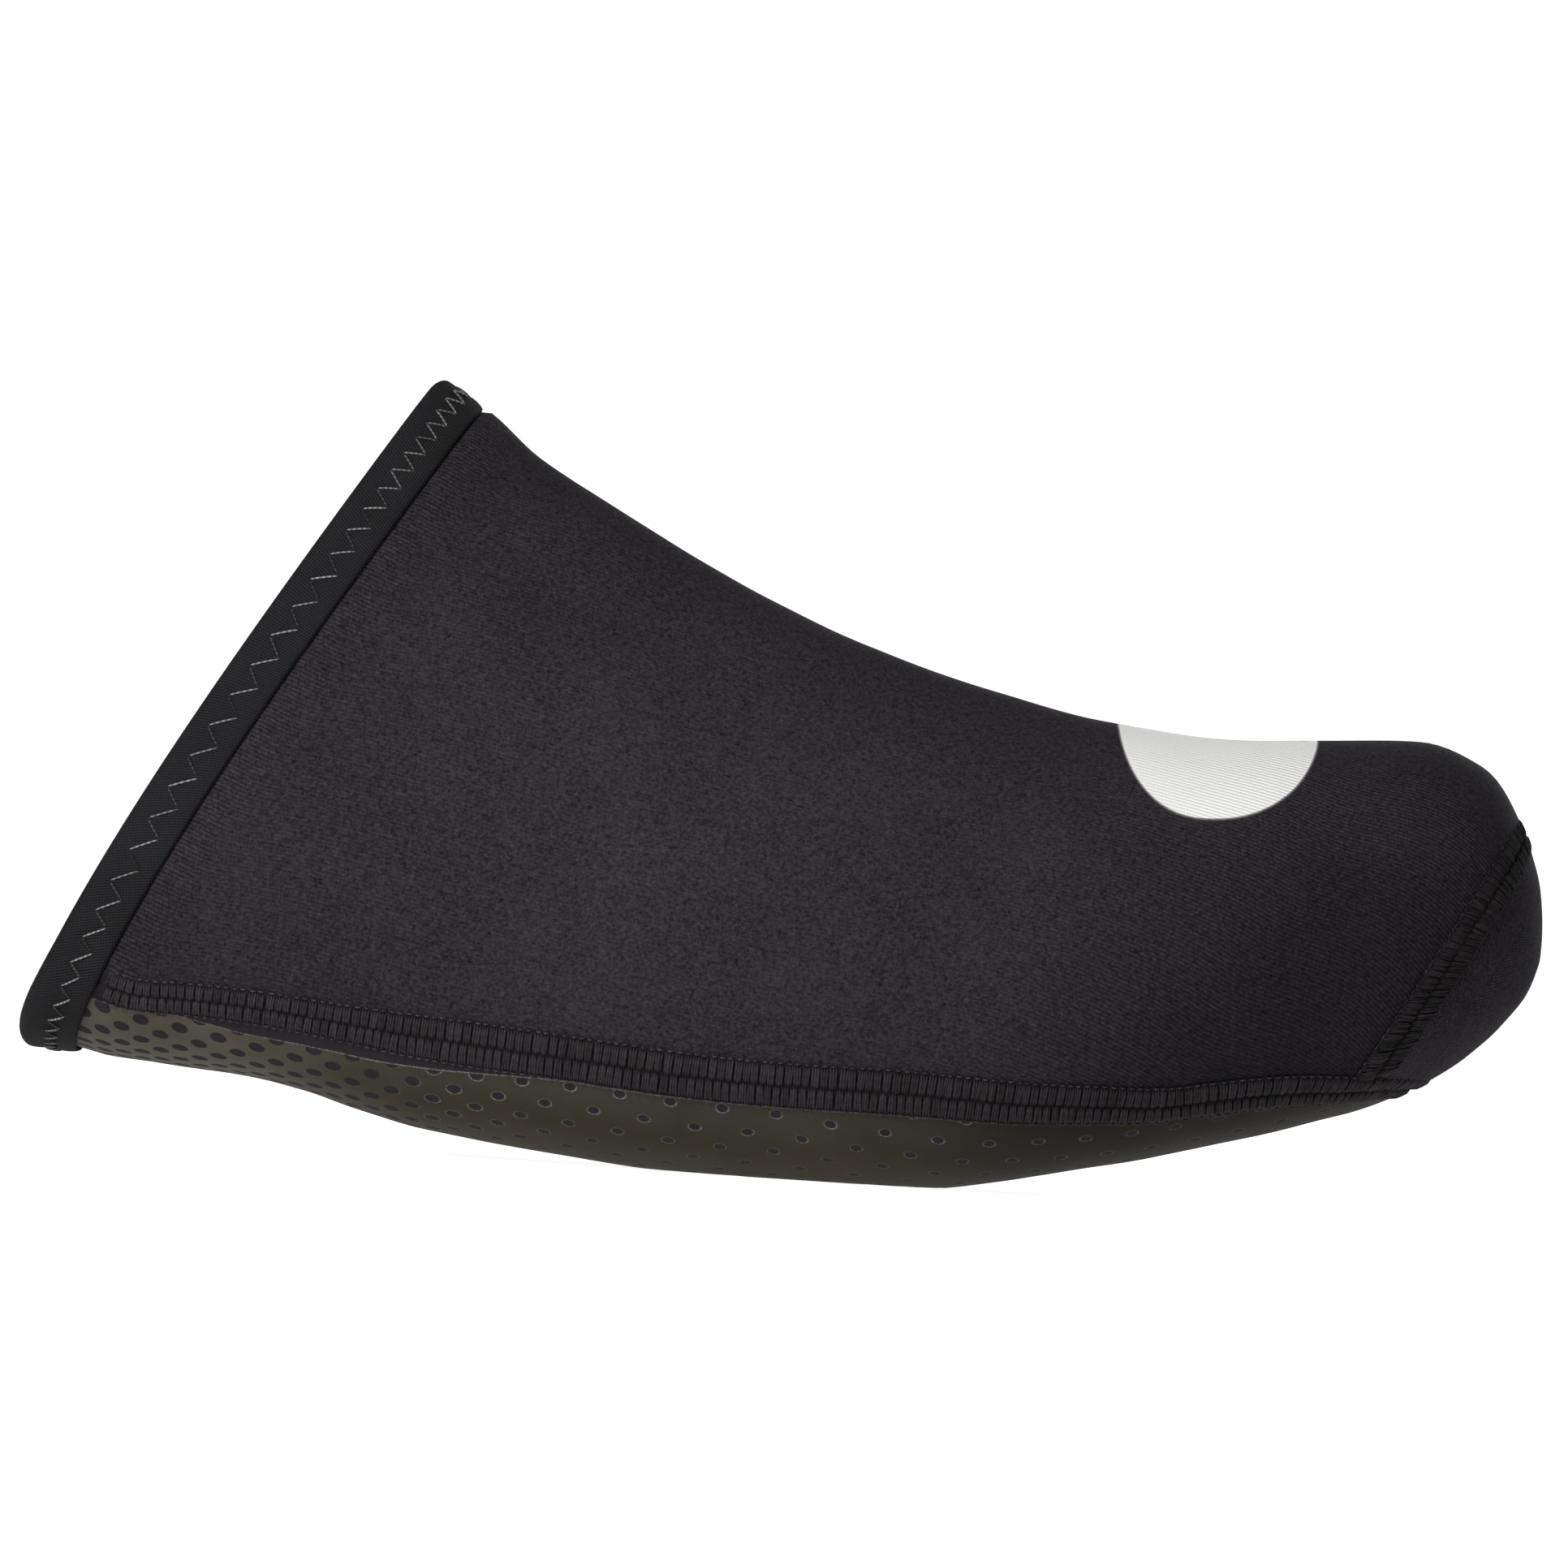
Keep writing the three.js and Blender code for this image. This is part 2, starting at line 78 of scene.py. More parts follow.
# Sizes of the skin, as the solids have them
LENGTH = 200 * MM
BALL_WIDTH = 62 * MM
INSTEP_HEIGHT = 102.2 * MM
TOE_HEIGHT = 63.2 * MM
REAR_LIFT = 10.5 * MM
TOE_SPRING = 13 * MM
NOSE_HEIGHT = 30.2 * MM
NOSE_DEPTH = 13.6 * MM
COLLAR_LEAN = math.tan(math.radians(29.7))
COLLAR_BOW = 3.2 * MM
COLLAR_SETBACK = 2.7 * MM
UPPER_WALL = 2.5 * MM
SOLE_WALL = 2.5 * MM
CLEARANCE = 0.3 * MM
BINDING_WIDTH = 7.2 * MM
BINDING_WALL = 0.7 * MM
BINDING_FOLD_DEPTH = 1.6 * MM
SOLE_SEAM_WIDTH = 6.2 * MM
TOE_SEAM_WIDTH = 5 * MM
TUCK_SHARE = 0.55
BOW_LOWNESS = 0.68
SOLE_FRONT_FULLNESS = 2.3
SOLE_ROUNDING_SECTION = 14
SOLE_FRONT_FORWARD = 0.5

# The leaning sections, as shares of the sizes above. along: where the section meets the floor;
# instep and toe: the ridge; rear and spring: the keel; width and waist: the widest level; crown,
# side and belly: how full it is; seam and ribbon: the sole seam's place and width; bow: how much
# of the collar's bow it takes
SECTION_NAMES = ("along", "instep", "toe", "rear", "spring", "width", "waist",
                 "crown", "side", "belly", "seam", "ribbon", "bow")
BODY_SECTIONS = (
    (-0.034, 1.000, 1.000, 1.130, 0, 0.895, 0.150, 0.50, 0.45, 0.78, 0.170, 0.55, 1),
    (-0.014, 0.955, 1.000, 1.100, 0, 0.900, 0.150, 0.50, 0.45, 0.78, 0.180, 0.55, 1),
    (0.006, 0.908, 1.000, 1.060, 0, 0.905, 0.150, 0.50, 0.45, 0.78, 0.190, 0.55, 0.97),
    (0.030, 0.844, 1.000, 0.980, 0, 0.915, 0.150, 0.49, 0.45, 0.78, 0.200, 0.57, 0.85),
    (0.065, 0.747, 1.000, 0.930, 0, 0.925, 0.165, 0.48, 0.44, 0.77, 0.210, 0.60, 0.5),
    (0.120, 0.617, 1.000, 0.830, 0, 0.945, 0.190, 0.46, 0.43, 0.76, 0.235, 0.66, 0.15),
    (0.170, 0.508, 1.000, 0.680, 0, 0.960, 0.225, 0.44, 0.42, 0.75, 0.270, 0.78, 0),
    (0.210, 0.426, 1.000, 0.495, 0, 0.970, 0.260, 0.42, 0.41, 0.73, 0.280, 0.92, 0),
    (0.260, 0.331, 1.000, 0.305, 0, 0.985, 0.290, 0.40, 0.40, 0.71, 0.275, 1, 0),
    (0.340, 0.200, 1.000, 0.130, 0, 1.000, 0.320, 0.375, 0.40, 0.69, 0.275, 1, 0),
    (0.440, 0.073, 1.000, -0.035, 0, 1.000, 0.335, 0.35, 0.40, 0.68, 0.260, 1, 0),
    (0.520, 0, 1.000, -0.085, 0, 0.980, 0.350, 0.34, 0.40, 0.68, 0.250, 1, 0),
    (0.600, 0, 0.978, -0.035, 0, 0.945, 0.360, 0.34, 0.41, 0.67, 0.275, 1, 0),
    (0.670, 0, 0.988, 0, 0.185, 0.900, 0.360, 0.40, 0.43, 0.65, 0.345, 1, 0),
    (0.730, 0, 1.000, 0, 0.427, 0.855, 0.360, 0.48, 0.46, 0.62, 0.405, 1, 0),
    (0.780, 0, 0.957, 0, 0.664, 0.790, 0.370, 0.52, 0.49, 0.60, 0.405, 1, 0),
    (0.837, 0, 0.820, 0, 1.000, 0.697, 0.400, 0.54, 0.52, 0.58, 0.405, 1, 0),
)
NOSE_NAMES = ("forward", "upper", "lower", "width", "waist")
NOSE_SECTIONS = (
    (0.190, 0.876, 0.921, 0.926, 0.42),
    (0.412, 0.721, 0.814, 0.820, 0.44),
    (0.632, 0.532, 0.674, 0.678, 0.46),
    (0.780, 0.387, 0.536, 0.546, 0.48),
    (0.853, 0.307, 0.427, 0.458, 0.49),
    (0.926, 0.213, 0.289, 0.336, 0.51),
    (1.000, 0.000, 0.000, 0.000, 0.52),
)
NOSE_ROUNDNESS = {"crown": 0.55, "side": 0.54, "belly": 0.56, "seam": 0.405, "ribbon": 1, "bow": 0}
COLUMNS = ("foot", "ridge", "keel", "half_width", "waist", "crown", "side", "belly", "seam",
           "ribbon", "bow")

# How far the toe seam stops before the sole seam, as a turn around the section
TOE_SEAM_END = 0.11

# The threads of the sole seam spread to a share of its ribbon, and less where the ribbon narrows
THREAD_SPREAD = 1.05
THREAD_NARROWING = 0.78

# How deep the seams sink in where they round the front and the ridge, and between which distances
# from there they go down
SEAM_SINK = 0.5 * MM
FRONT_SINK_SPAN = (26 * MM, 8 * MM)
RIDGE_SINK_SPAN = (20 * MM, 5 * MM)

# Small steps for measuring slopes on the skin, and how finely a path is sampled
STATION_STEP = 0.2 * MM
AROUND_STEP = 0.01
TRAVEL_STEP = 0.004
PATH_SAMPLES = 400

# Rows and columns of the sheets
UPPER_ROWS, UPPER_COLUMNS = 122, 132
BUMPER_SIDE_ROWS, BUMPER_NOSE_ROWS, BUMPER_COLUMNS = 14, 22, 96
SOLE_ROWS, SOLE_FRONT_ROWS, SOLE_COLUMNS = 112, 22, 64
TAPE_ROWS = 200
BED_ROW, BED_COLUMNS = 1.5 * MM, 8

# Soft troughs and ridges of the jersey: from and to, each as a station along the ridge and an arc
# down from the ridge, then the width and the rise of the fold, all in millimetres
FOLDS = (
    (9, 24, 60, 15, 9, -0.55),
    (12, 40, 74, 27, 10, 0.40),
    (30, 62, 88, 40, 9, -0.32),
    (70, 34, 96, 52, 7, 0.34),
    (78, 24, 112, 46, 8, -0.38),
    (96, 20, 124, 40, 7, 0.30),
    (20, 84, 52, 78, 6, 0.28),
    (58, 70, 104, 62, 8, -0.28),
    (112, 60, 140, 50, 6, 0.25),
    (128, 12, 146, 34, 7, -0.30),
)


def body_section(row):
    return {
        **row,
        "foot": row["along"] * LENGTH,
        "ridge": row["toe"] * TOE_HEIGHT + row["instep"] * (INSTEP_HEIGHT - TOE_HEIGHT),
        "keel": row["rear"] * REAR_LIFT + row["spring"] * TOE_SPRING,
        "half_width": row["width"] * BALL_WIDTH / 2,
    }


def nose_section(row, last):
    return {
        **NOSE_ROUNDNESS,
        "foot": last["foot"] + row["forward"] * NOSE_DEPTH,
        "ridge": NOSE_HEIGHT + row["upper"] * (last["ridge"] - NOSE_HEIGHT),
        "keel": NOSE_HEIGHT - row["lower"] * (NOSE_HEIGHT - last["keel"]),
        "half_width": row["width"] * last["half_width"],
        "waist": row["waist"],
    }


def past_nose(section):
    """A section mirrored past the foremost point, so that curves run through it smoothly."""
    return {
        **section,
        "ridge": 2 * NOSE_HEIGHT - section["ridge"],
        "keel": 2 * NOSE_HEIGHT - section["keel"],
        "half_width": -section["half_width"],
    }


def bezier(a, b, c, d, t):
    u = 1 - t
    return a * u**3 + 3 * b * u * u * t + 3 * c * u * t * t + d * t**3


def mix(a, b, share):
    return a + (b - a) * share


def smooth_share(value, low, high):
    share = np.clip((value - low) / (high - low), 0, 1)
    return share * share * (3 - 2 * share)


def run_length(points):
    """How far each point of a line of points lies along it."""
    steps = np.linalg.norm(np.diff(points, axis=-2), axis=-1)
    return np.concatenate([np.zeros_like(steps[..., :1]), np.cumsum(steps, axis=-1)], axis=-1)


class Skin:
    """The outer skin. A place is a station along the ridge, in metres from the collar's edge, and
    a turn around the section: 0 at the ridge, 1 at the waist and 2 at the keel on the +Y side,
    and on from 2 to 4, or from 0 to -2, on the -Y side."""

    def __init__(self):
        self.body = [body_section(dict(zip(SECTION_NAMES, row))) for row in BODY_SECTIONS]
        last = self.body[-1]
        self.nose = [nose_section(dict(zip(NOSE_NAMES, row)), last) for row in NOSE_SECTIONS]
        shown = self.body + self.nose
        sections = shown + [past_nose(shown[-2]), past_nose(shown[-3])]
        ridge = np.array([[s["foot"] + s["ridge"] * COLLAR_LEAN, s["ridge"]] for s in sections])
        self.stations = run_length(ridge)
        self.columns = {name: np.array([s[name] for s in sections], float) for name in COLUMNS}
        self.slopes = {name: self.slopes_of(values) for name, values in self.columns.items()}
        self.toe_seam = self.stations[len(self.body) - 1]
        self.nose_tip = self.stations[len(shown) - 1]
        self.rounding = self.stations[SOLE_ROUNDING_SECTION]
        self.open_share = 1 - self.body[SOLE_ROUNDING_SECTION]["seam"]
        front_foot = last["foot"] + SOLE_FRONT_FORWARD * NOSE_DEPTH
        feet = [s["foot"] for s in shown]
        self.sole_front = np.interp(front_foot, feet, self.stations[:len(shown)])
        self.shift = 0
        top_line = self.point(np.linspace(self.toe_seam, self.nose_tip, PATH_SAMPLES), np.array(0.0))
        self.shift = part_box("toe_bumper")[1].x - top_line[:, 0].max()

    def slopes_of(self, values):
        secants = np.diff(values) / np.diff(self.stations)
        before, after = secants[:-1], secants[1:]
        alike = before * after > 0
        inner = np.where(alike, 2 * before * after / np.where(alike, before + after, 1), 0)
        return np.concatenate([secants[:1], inner, secants[-1:]])

    def section(self, station):
        i = np.searchsorted(self.stations, station, side="right") - 1
        i = np.clip(i, 0, len(self.stations) - 2)
        step = self.stations[i + 1] - self.stations[i]
        t = (station - self.stations[i]) / step
        u = 1 - t
        found = {}
        for name in COLUMNS:
            values, slopes = self.columns[name], self.slopes[name]
            found[name] = (values[i] * u * u * (1 + 2 * t) + values[i + 1] * t * t * (1 + 2 * u)
                           + step * t * u * (slopes[i] * u - slopes[i + 1] * t))
        return found

    def point(self, station, around):
        station, around = np.broadcast_arrays(station, around)
        s = self.section(station)
        turn = np.where(around > 2, around - 4, around)
        part = np.abs(turn)
        above = part <= 1
        t = np.where(above, part, part - 1)
        height = s["ridge"] - s["keel"]
        waist = s["keel"] + s["waist"] * height
        tuck = waist - TUCK_SHARE * (waist - s["keel"])
        flank = waist + s["side"] * (s["ridge"] - waist)
        w = s["half_width"]
        y = np.where(above, bezier(0, s["crown"] * w, w, w, t), bezier(w, w, s["belly"] * w, 0, t))
        z = np.where(above, bezier(s["ridge"], s["ridge"], flank, waist, t),
                     bezier(waist, tuck, s["keel"], s["keel"], t))
        bowed = s["bow"] > 0
        share = np.clip((z - s["keel"]) / np.where(bowed, height, 1), 0, 1) * bowed
        bow = COLLAR_BOW * np.sin(math.pi * share**BOW_LOWNESS) + COLLAR_SETBACK * share
        level = np.maximum(z, 0)
        x = s["foot"] + level * COLLAR_LEAN - s["bow"] * bow + self.shift
        return np.stack([x, np.sign(turn) * y, level], axis=-1)

    def slopes_at(self, station, around):
        along = self.point(station + STATION_STEP, around) - self.point(station - STATION_STEP, around)
        across = self.point(station, around + AROUND_STEP) - self.point(station, around - AROUND_STEP)
        return along / (2 * STATION_STEP), across / (2 * AROUND_STEP)

    def normal(self, station, around):
        station, around = np.broadcast_arrays(station, around)
        along, across = self.slopes_at(station, around)
        found = np.cross(along, across)
        size = np.linalg.norm(found, axis=-1, keepdims=True)
        tip = np.array([1, 0, -COLLAR_LEAN]) / math.hypot(1, COLLAR_LEAN)
        at_tip = (station > self.nose_tip - STATION_STEP)[..., None]
        return np.where(at_tip, tip, found / np.maximum(size, 1e-12))

    def lifted(self, station, around, lift):
        lift = np.broadcast_to(lift, np.broadcast(station, around).shape)
        return self.point(station, around) + self.normal(station, around) * lift[..., None]

    def seam_place(self, travel):
        """The sole seam on the +Y side: travel 0 to 1 is its straight part, 1 to 2 its round front."""
        straight = self.rounding * travel
        power = 2 / SOLE_FRONT_FULLNESS
        angle = (np.maximum(travel, 1) - 1) * math.pi / 2
        opened = np.sign(np.cos(angle)) * np.abs(np.cos(angle)) ** power
        reached = np.abs(np.sin(angle)) ** power
        rounded = travel >= 1
        station = np.where(rounded, mix(self.rounding, self.sole_front, reached), straight)
        around = np.where(rounded, 2 - self.open_share * opened, 1 + self.section(straight)["seam"])
        return station, around

    def beside_seam(self, travel, distance):
        """A place at a distance from the seam, at right angles to it. Towards the sole is positive."""
        station, around = self.seam_place(travel)
        before, after = self.seam_place(travel - TRAVEL_STEP), self.seam_place(travel + TRAVEL_STEP)
        along, across = self.slopes_at(station, around)
        heading = (along * (after[0] - before[0])[..., None]
                   + across * (after[1] - before[1])[..., None])
        aside = np.cross(np.cross(along, across), heading)
        aside *= (distance / np.linalg.norm(aside, axis=-1))[..., None]
        aa, ac, cc = ((p * q).sum(-1) for p, q in ((along, along), (along, across), (across, across)))
        ap, cp = (along * aside).sum(-1), (across * aside).sum(-1)
        scale = aa * cc - ac * ac
        return station + (ap * cc - cp * ac) / scale, around + (cp * aa - ap * ac) / scale

    def seam_side(self, distance):
        """The edge beside the sole seam, as a function from a station to its turn, and its front."""
        travel = np.linspace(0, 2, PATH_SAMPLES)
        station, around = self.beside_seam(travel, np.full_like(travel, distance))
        front = station[-1]
        return lambda at: np.where(at >= front, 2, np.interp(at, station, around)), front

    def rounded_steps(self, start, end, count):
        """Stations that crowd together towards a rounded front end."""
        power = 2 / SOLE_FRONT_FULLNESS
        reach = end - self.rounding
        first = math.asin(((start - self.rounding) / reach) ** (1 / power))
        angles = np.linspace(first, math.pi / 2, count + 1)
        return self.rounding + reach * np.sin(angles) ** power


SKIN = Skin()
PANEL_START = BINDING_FOLD_DEPTH + CLEARANCE
UPPER_EDGE, UPPER_FRONT = SKIN.seam_side(-CLEARANCE / 2)
SOLE_EDGE, SOLE_FRONT = SKIN.seam_side(CLEARANCE / 2)


def sole_seam_spread(ribbon):
    """How wide the threads of the sole seam spread, which is a little past its ribbon."""
    return SOLE_SEAM_WIDTH * (THREAD_SPREAD - THREAD_NARROWING * (1 - ribbon))


def toe_seam_spread(along):
    return TOE_SEAM_WIDTH + 0 * along


class SeamPath:
    """The middle of the sole seam, laid out flat from the collar round the front and back. A flat
    point is its distance along the seam, its distance aside towards the sole, and its lift. The
    seam sinks in where it rounds the front."""

    def __init__(self, start):
        first = start / SKIN.rounding
        self.travel = np.linspace(first, 2, PATH_SAMPLES)
        self.distance = run_length(SKIN.point(*SKIN.seam_place(self.travel)))
        self.half = self.distance[-1]
        self.length = 2 * self.half

    def laid(self, flat):
        along = np.minimum(flat[:, 0], self.length - flat[:, 0])
        travel = np.interp(along, self.distance, self.travel)
        station, around = SKIN.beside_seam(travel, flat[:, 1])
        far, near = FRONT_SINK_SPAN
        sunk = SEAM_SINK * smooth_share(along, self.half - far, self.half - near)
        points = SKIN.lifted(station, around, flat[:, 2] - sunk)
        points[:, 1] *= np.where(flat[:, 0] > self.half, -1, 1)
        return points

    def width(self, along):
        travel = np.interp(np.minimum(along, self.length - along), self.distance, self.travel)
        return sole_seam_spread(SKIN.section(SKIN.seam_place(travel)[0])["ribbon"])


class SectionPath:
    """A line over the ridge, or all round, at one station, laid out flat: its distance along the
    section, its distance aside towards the toe, and its lift. It may sink in at its middle."""

    def __init__(self, station, start, end, sink=0.0):
        self.station = station
        self.sink = sink
        self.around = np.linspace(start, end, PATH_SAMPLES)
        self.distance = run_length(SKIN.point(station, self.around))
        self.length = self.distance[-1]

    def laid(self, flat):
        around = np.interp(flat[:, 0], self.distance, self.around)
        from_middle = np.abs(flat[:, 0] - self.length / 2)
        far, near = RIDGE_SINK_SPAN
        sunk = self.sink * smooth_share(-from_middle, -far, -near)
        return SKIN.lifted(self.station + flat[:, 1], around, flat[:, 2] - sunk)


class ClothSettings(bpy.types.PropertyGroup):
    """Sizes and colours of the jersey and the folded tape."""

    course_pitch: bpy.props.FloatProperty(
        name="Course pitch", description="Distance between two rows of the knit",
        default=0.56 * MM, min=0.2 * MM, unit="LENGTH", precision=5)
    wale_pitch: bpy.props.FloatProperty(
        name="Wale pitch", description="Distance between two columns of the knit",
        default=0.42 * MM, min=0.2 * MM, unit="LENGTH", precision=5)
    fold_scale: bpy.props.FloatProperty(
        name="Fold scale", description="How strongly the soft folds stand out",
        default=1, min=0, max=3)
    jersey: bpy.props.FloatVectorProperty(
        name="Jersey", description="Colour of the outer jersey",
        subtype="COLOR", size=3, min=0, max=1, default=(0.0166, 0.0148, 0.0170))
    lining: bpy.props.FloatVectorProperty(
        name="Lining", description="Colour of the inner face",
        subtype="COLOR", size=3, min=0, max=1, default=(0.024, 0.0225, 0.0245))
    tape: bpy.props.FloatVectorProperty(
        name="Tape", description="Colour of the folded tape",
        subtype="COLOR", size=3, min=0, max=1, default=(0.0103, 0.0104, 0.0113))
    disc: bpy.props.FloatVectorProperty(
        name="Disc", description="Colour of the plain reflective disc",
        subtype="COLOR", size=3, min=0, max=1, default=(0.62, 0.62, 0.61))


class SoleSettings(bpy.types.PropertyGroup):
    """Sizes and colours of the coating under the sole and its lattice of holes."""

    rear_hole: bpy.props.FloatProperty(
        name="Rear hole", description="Diameter of the holes by the collar",
        default=2.15 * MM, min=0.5 * MM, unit="LENGTH", precision=5)
    front_hole: bpy.props.FloatProperty(
        name="Front hole", description="Diameter of the holes under the ball",
        default=1.55 * MM, min=0.5 * MM, unit="LENGTH", precision=5)
    # The coating is lighter by the collar than under the ball: partly its own greyer colour, partly painted
    # light for the light falling off towards the front
    rear_coating_and_light: bpy.props.FloatVectorProperty(
        name="Rear coating", description="Colour of the coating by the collar",
        subtype="COLOR", size=3, min=0, max=1, default=(0.048, 0.0425, 0.0325))
    front_coating_and_shade: bpy.props.FloatVectorProperty(
        name="Front coating", description="Colour of the coating under the ball",
        subtype="COLOR", size=3, min=0, max=1, default=(0.0205, 0.0160, 0.0082))
    seam_side: bpy.props.FloatVectorProperty(
        name="Coating by the seam", description="Colour of the coating along the front of the seam",
        subtype="COLOR", size=3, min=0, max=1, default=(0.0250, 0.0228, 0.0165))
    # Colour of the painted highlight on the coating's edge and the holes' rims
    rim_highlight: bpy.props.FloatVectorProperty(
        name="Rim", description="Colour of the pale edge of the coating",
        subtype="COLOR", size=3, min=0, max=1, default=(0.105, 0.105, 0.098))


class StitchSettings(bpy.types.PropertyGroup):
    """Sizes and colours of the threads."""

    bundle_pitch: bpy.props.FloatProperty(
        name="Bundle pitch", description="Distance between two bundles of the flat seams",
        default=1.12 * MM, min=0.5 * MM, unit="LENGTH", precision=5)
    strand: bpy.props.FloatProperty(
        name="Strand", description="Radius of one strand of a bundle",
        default=0.19 * MM, min=0.05 * MM, unit="LENGTH", precision=5)
    zigzag_cycle: bpy.props.FloatProperty(
        name="Zigzag cycle", description="Length of one cycle of the tape's zigzag",
        default=4.85 * MM, min=2 * MM, unit="LENGTH", precision=5)
    zigzag_thread: bpy.props.FloatProperty(
        name="Zigzag thread", description="Radius of the zigzag's thread",
        default=0.135 * MM, min=0.05 * MM, unit="LENGTH", precision=5)
    seam: bpy.props.FloatVectorProperty(
        name="Seam", description="Colour of the seams' threads",
        subtype="COLOR", size=3, min=0, max=1, default=(0.0142, 0.0120, 0.0138))
    zigzag: bpy.props.FloatVectorProperty(
        name="Zigzag", description="Colour of the zigzag's thread",
        subtype="COLOR", size=3, min=0, max=1, default=(0.078, 0.078, 0.080))


class StageSettings(bpy.types.PropertyGroup):
    """The floor and the light."""

    floor: bpy.props.FloatVectorProperty(
        name="Floor", description="Colour of the floor and the backdrop",
        subtype="COLOR", size=3, min=0, max=1, default=(0.40, 0.40, 0.40))
    floor_glow: bpy.props.FloatProperty(
        name="Floor glow", description="Light that the floor by the cover gives off",
        default=0.95, min=0)
    backdrop_glow: bpy.props.FloatProperty(
        name="Backdrop glow", description="Light that the backdrop gives off",
        default=0.95, min=0)
    front_glow: bpy.props.FloatProperty(
        name="Front glow", description="Light that the wall behind the camera gives off",
        default=0.10, min=0)
    key: bpy.props.FloatProperty(
        name="Key light", description="Power of the soft light from the front left",
        default=2.8, min=0)
    fill: bpy.props.FloatProperty(
        name="Fill light", description="Power of the soft light on the far side",
        default=1.8, min=0)
    sky: bpy.props.FloatProperty(
        name="Sky light", description="Strength of the even light from above",
        default=0.16, min=0)


class Signal:
    """One output of a node, so that shader maths reads as an expression."""

    def __init__(self, shader, socket):
        self.shader = shader
        self.socket = socket

    def __add__(self, other):
        return self.shader.maths("ADD", self, other)

    __radd__ = __add__

    def __sub__(self, other):
        return self.shader.maths("SUBTRACT", self, other)

    def __rsub__(self, other):
        return self.shader.maths("SUBTRACT", other, self)

    def __mul__(self, other):
        return self.shader.maths("MULTIPLY", self, other)

    __rmul__ = __mul__

    def __truediv__(self, other):
        return self.shader.maths("DIVIDE", self, other)

    def __rtruediv__(self, other):
        return self.shader.maths("DIVIDE", other, self)

    def __pow__(self, other):
        return self.shader.maths("POWER", self, other)

    def __abs__(self):
        return self.shader.maths("ABSOLUTE", self)

    def rounded(self):
        return self.shader.maths("ROUND", self)

    def wave(self):
        """A sine with one cycle for each unit, from -1 to 1."""
        return self.shader.maths("SINE", self * (2 * math.pi))

    def larger(self, other):
        return self.shader.maths("MAXIMUM", self, other)

    def smaller(self, other):
        return self.shader.maths("MINIMUM", self, other)

    def ease(self, low, high, start=0.0, end=1.0):
        """Goes smoothly from start to end while this goes from low to high."""
        node = self.shader.node(
            "ShaderNodeMapRange", {"interpolation_type": "SMOOTHSTEP"},
            {"Value": self, "From Min": low, "From Max": high, "To Min": start, "To Max": end})
        return Signal(self.shader, node.outputs["Result"])


class Shader:
    """A material and short ways to add nodes to it."""

    def __init__(self, name):
        self.material = bpy.data.materials.new(name)
        self.material.use_nodes = True
        self.tree = self.material.node_tree
        self.surface = self.tree.nodes["Principled BSDF"]

    def node(self, kind, settings=None, inputs=None):
        made = self.tree.nodes.new(kind)
        for name, value in (settings or {}).items():
            setattr(made, name, value)
        for key, value in (inputs or {}).items():
            self.feed(made.inputs[key], value)
        return made

    def feed(self, socket, value):
        if isinstance(value, Signal):
            self.tree.links.new(value.socket, socket)
        else:
            socket.default_value = value

    def set(self, **inputs):
        for name, value in inputs.items():
            self.feed(self.surface.inputs[name.replace("_", " ")], value)

    def maths(self, operation, *values):
        node = self.node("ShaderNodeMath", {"operation": operation}, dict(enumerate(values)))
        return Signal(self, node.outputs[0])

    def place(self):
        return Signal(self, self.node("ShaderNodeTexCoord").outputs["Object"])

    def attribute(self, name):
        node = self.node("ShaderNodeAttribute", {"attribute_name": name})
        return Signal(self, node.outputs["Vector"])

    def split(self, vector):
        node = self.node("ShaderNodeSeparateXYZ", inputs={"Vector": vector})
        return [Signal(self, node.outputs[axis]) for axis in "XYZ"]

    def join(self, x, y, z):
        node = self.node("ShaderNodeCombineXYZ", inputs={"X": x, "Y": y, "Z": z})
        return Signal(self, node.outputs[0])

    def noise(self, vector, size, detail=2.0, roughness=0.5):
        """Soft noise from 0 to 1 with grains of a size in metres."""
        node = self.node("ShaderNodeTexNoise", inputs={
            "Vector": vector, "Scale": 1 / size, "Detail": detail, "Roughness": roughness})
        return Signal(self, node.outputs["Fac"])

    def cells(self, vector, size):
        """Grains from 0 to 1, each of one value, with a size in metres."""
        node = self.node("ShaderNodeTexVoronoi", inputs={"Vector": vector, "Scale": 1 / size})
        split = self.node("ShaderNodeSeparateColor", inputs={"Color": Signal(self, node.outputs["Color"])})
        return Signal(self, split.outputs[0])

    def blend(self, first, second, share, way="MIX"):
        node = self.node("ShaderNodeMix", {"data_type": "RGBA", "blend_type": way})
        self.feed(node.inputs["Factor"], share)
        for socket, value in ((node.inputs[6], first), (node.inputs[7], second)):
            self.feed(socket, value if isinstance(value, Signal) else (*value, 1))
        return Signal(self, node.outputs[2])

    def shade(self, colour, amount):
        """The colour made darker or lighter by a signal around 1."""
        grey = self.join(amount, amount, amount)
        return self.blend(colour, grey, 1.0, "MULTIPLY")

    def bump(self, height, depth, strength=1.0, under=None):
        node = self.node("ShaderNodeBump", inputs={
            "Height": height, "Distance": depth, "Strength": strength})
        if under is not None:
            self.feed(node.inputs["Normal"], under)
        return Signal(self, node.outputs["Normal"])


# The plain reflective disc over the ridge: its middle and its reach along and across
DISC_X = 55.3 * MM
DISC_ALONG = 13.4 * MM
DISC_ACROSS = 21.2 * MM
DISC_FULLNESS = 2.3


def knit_height(shader, cloth, settings):
    """Rows of knit stitches, with a fine break along each row."""
    station, _, course = shader.split(cloth)
    rows = abs((course / (2 * settings.course_pitch)).wave())
    columns = (station / settings.wale_pitch + (course / settings.course_pitch).rounded() / 2).wave()
    return rows * 0.8 + columns * 0.12


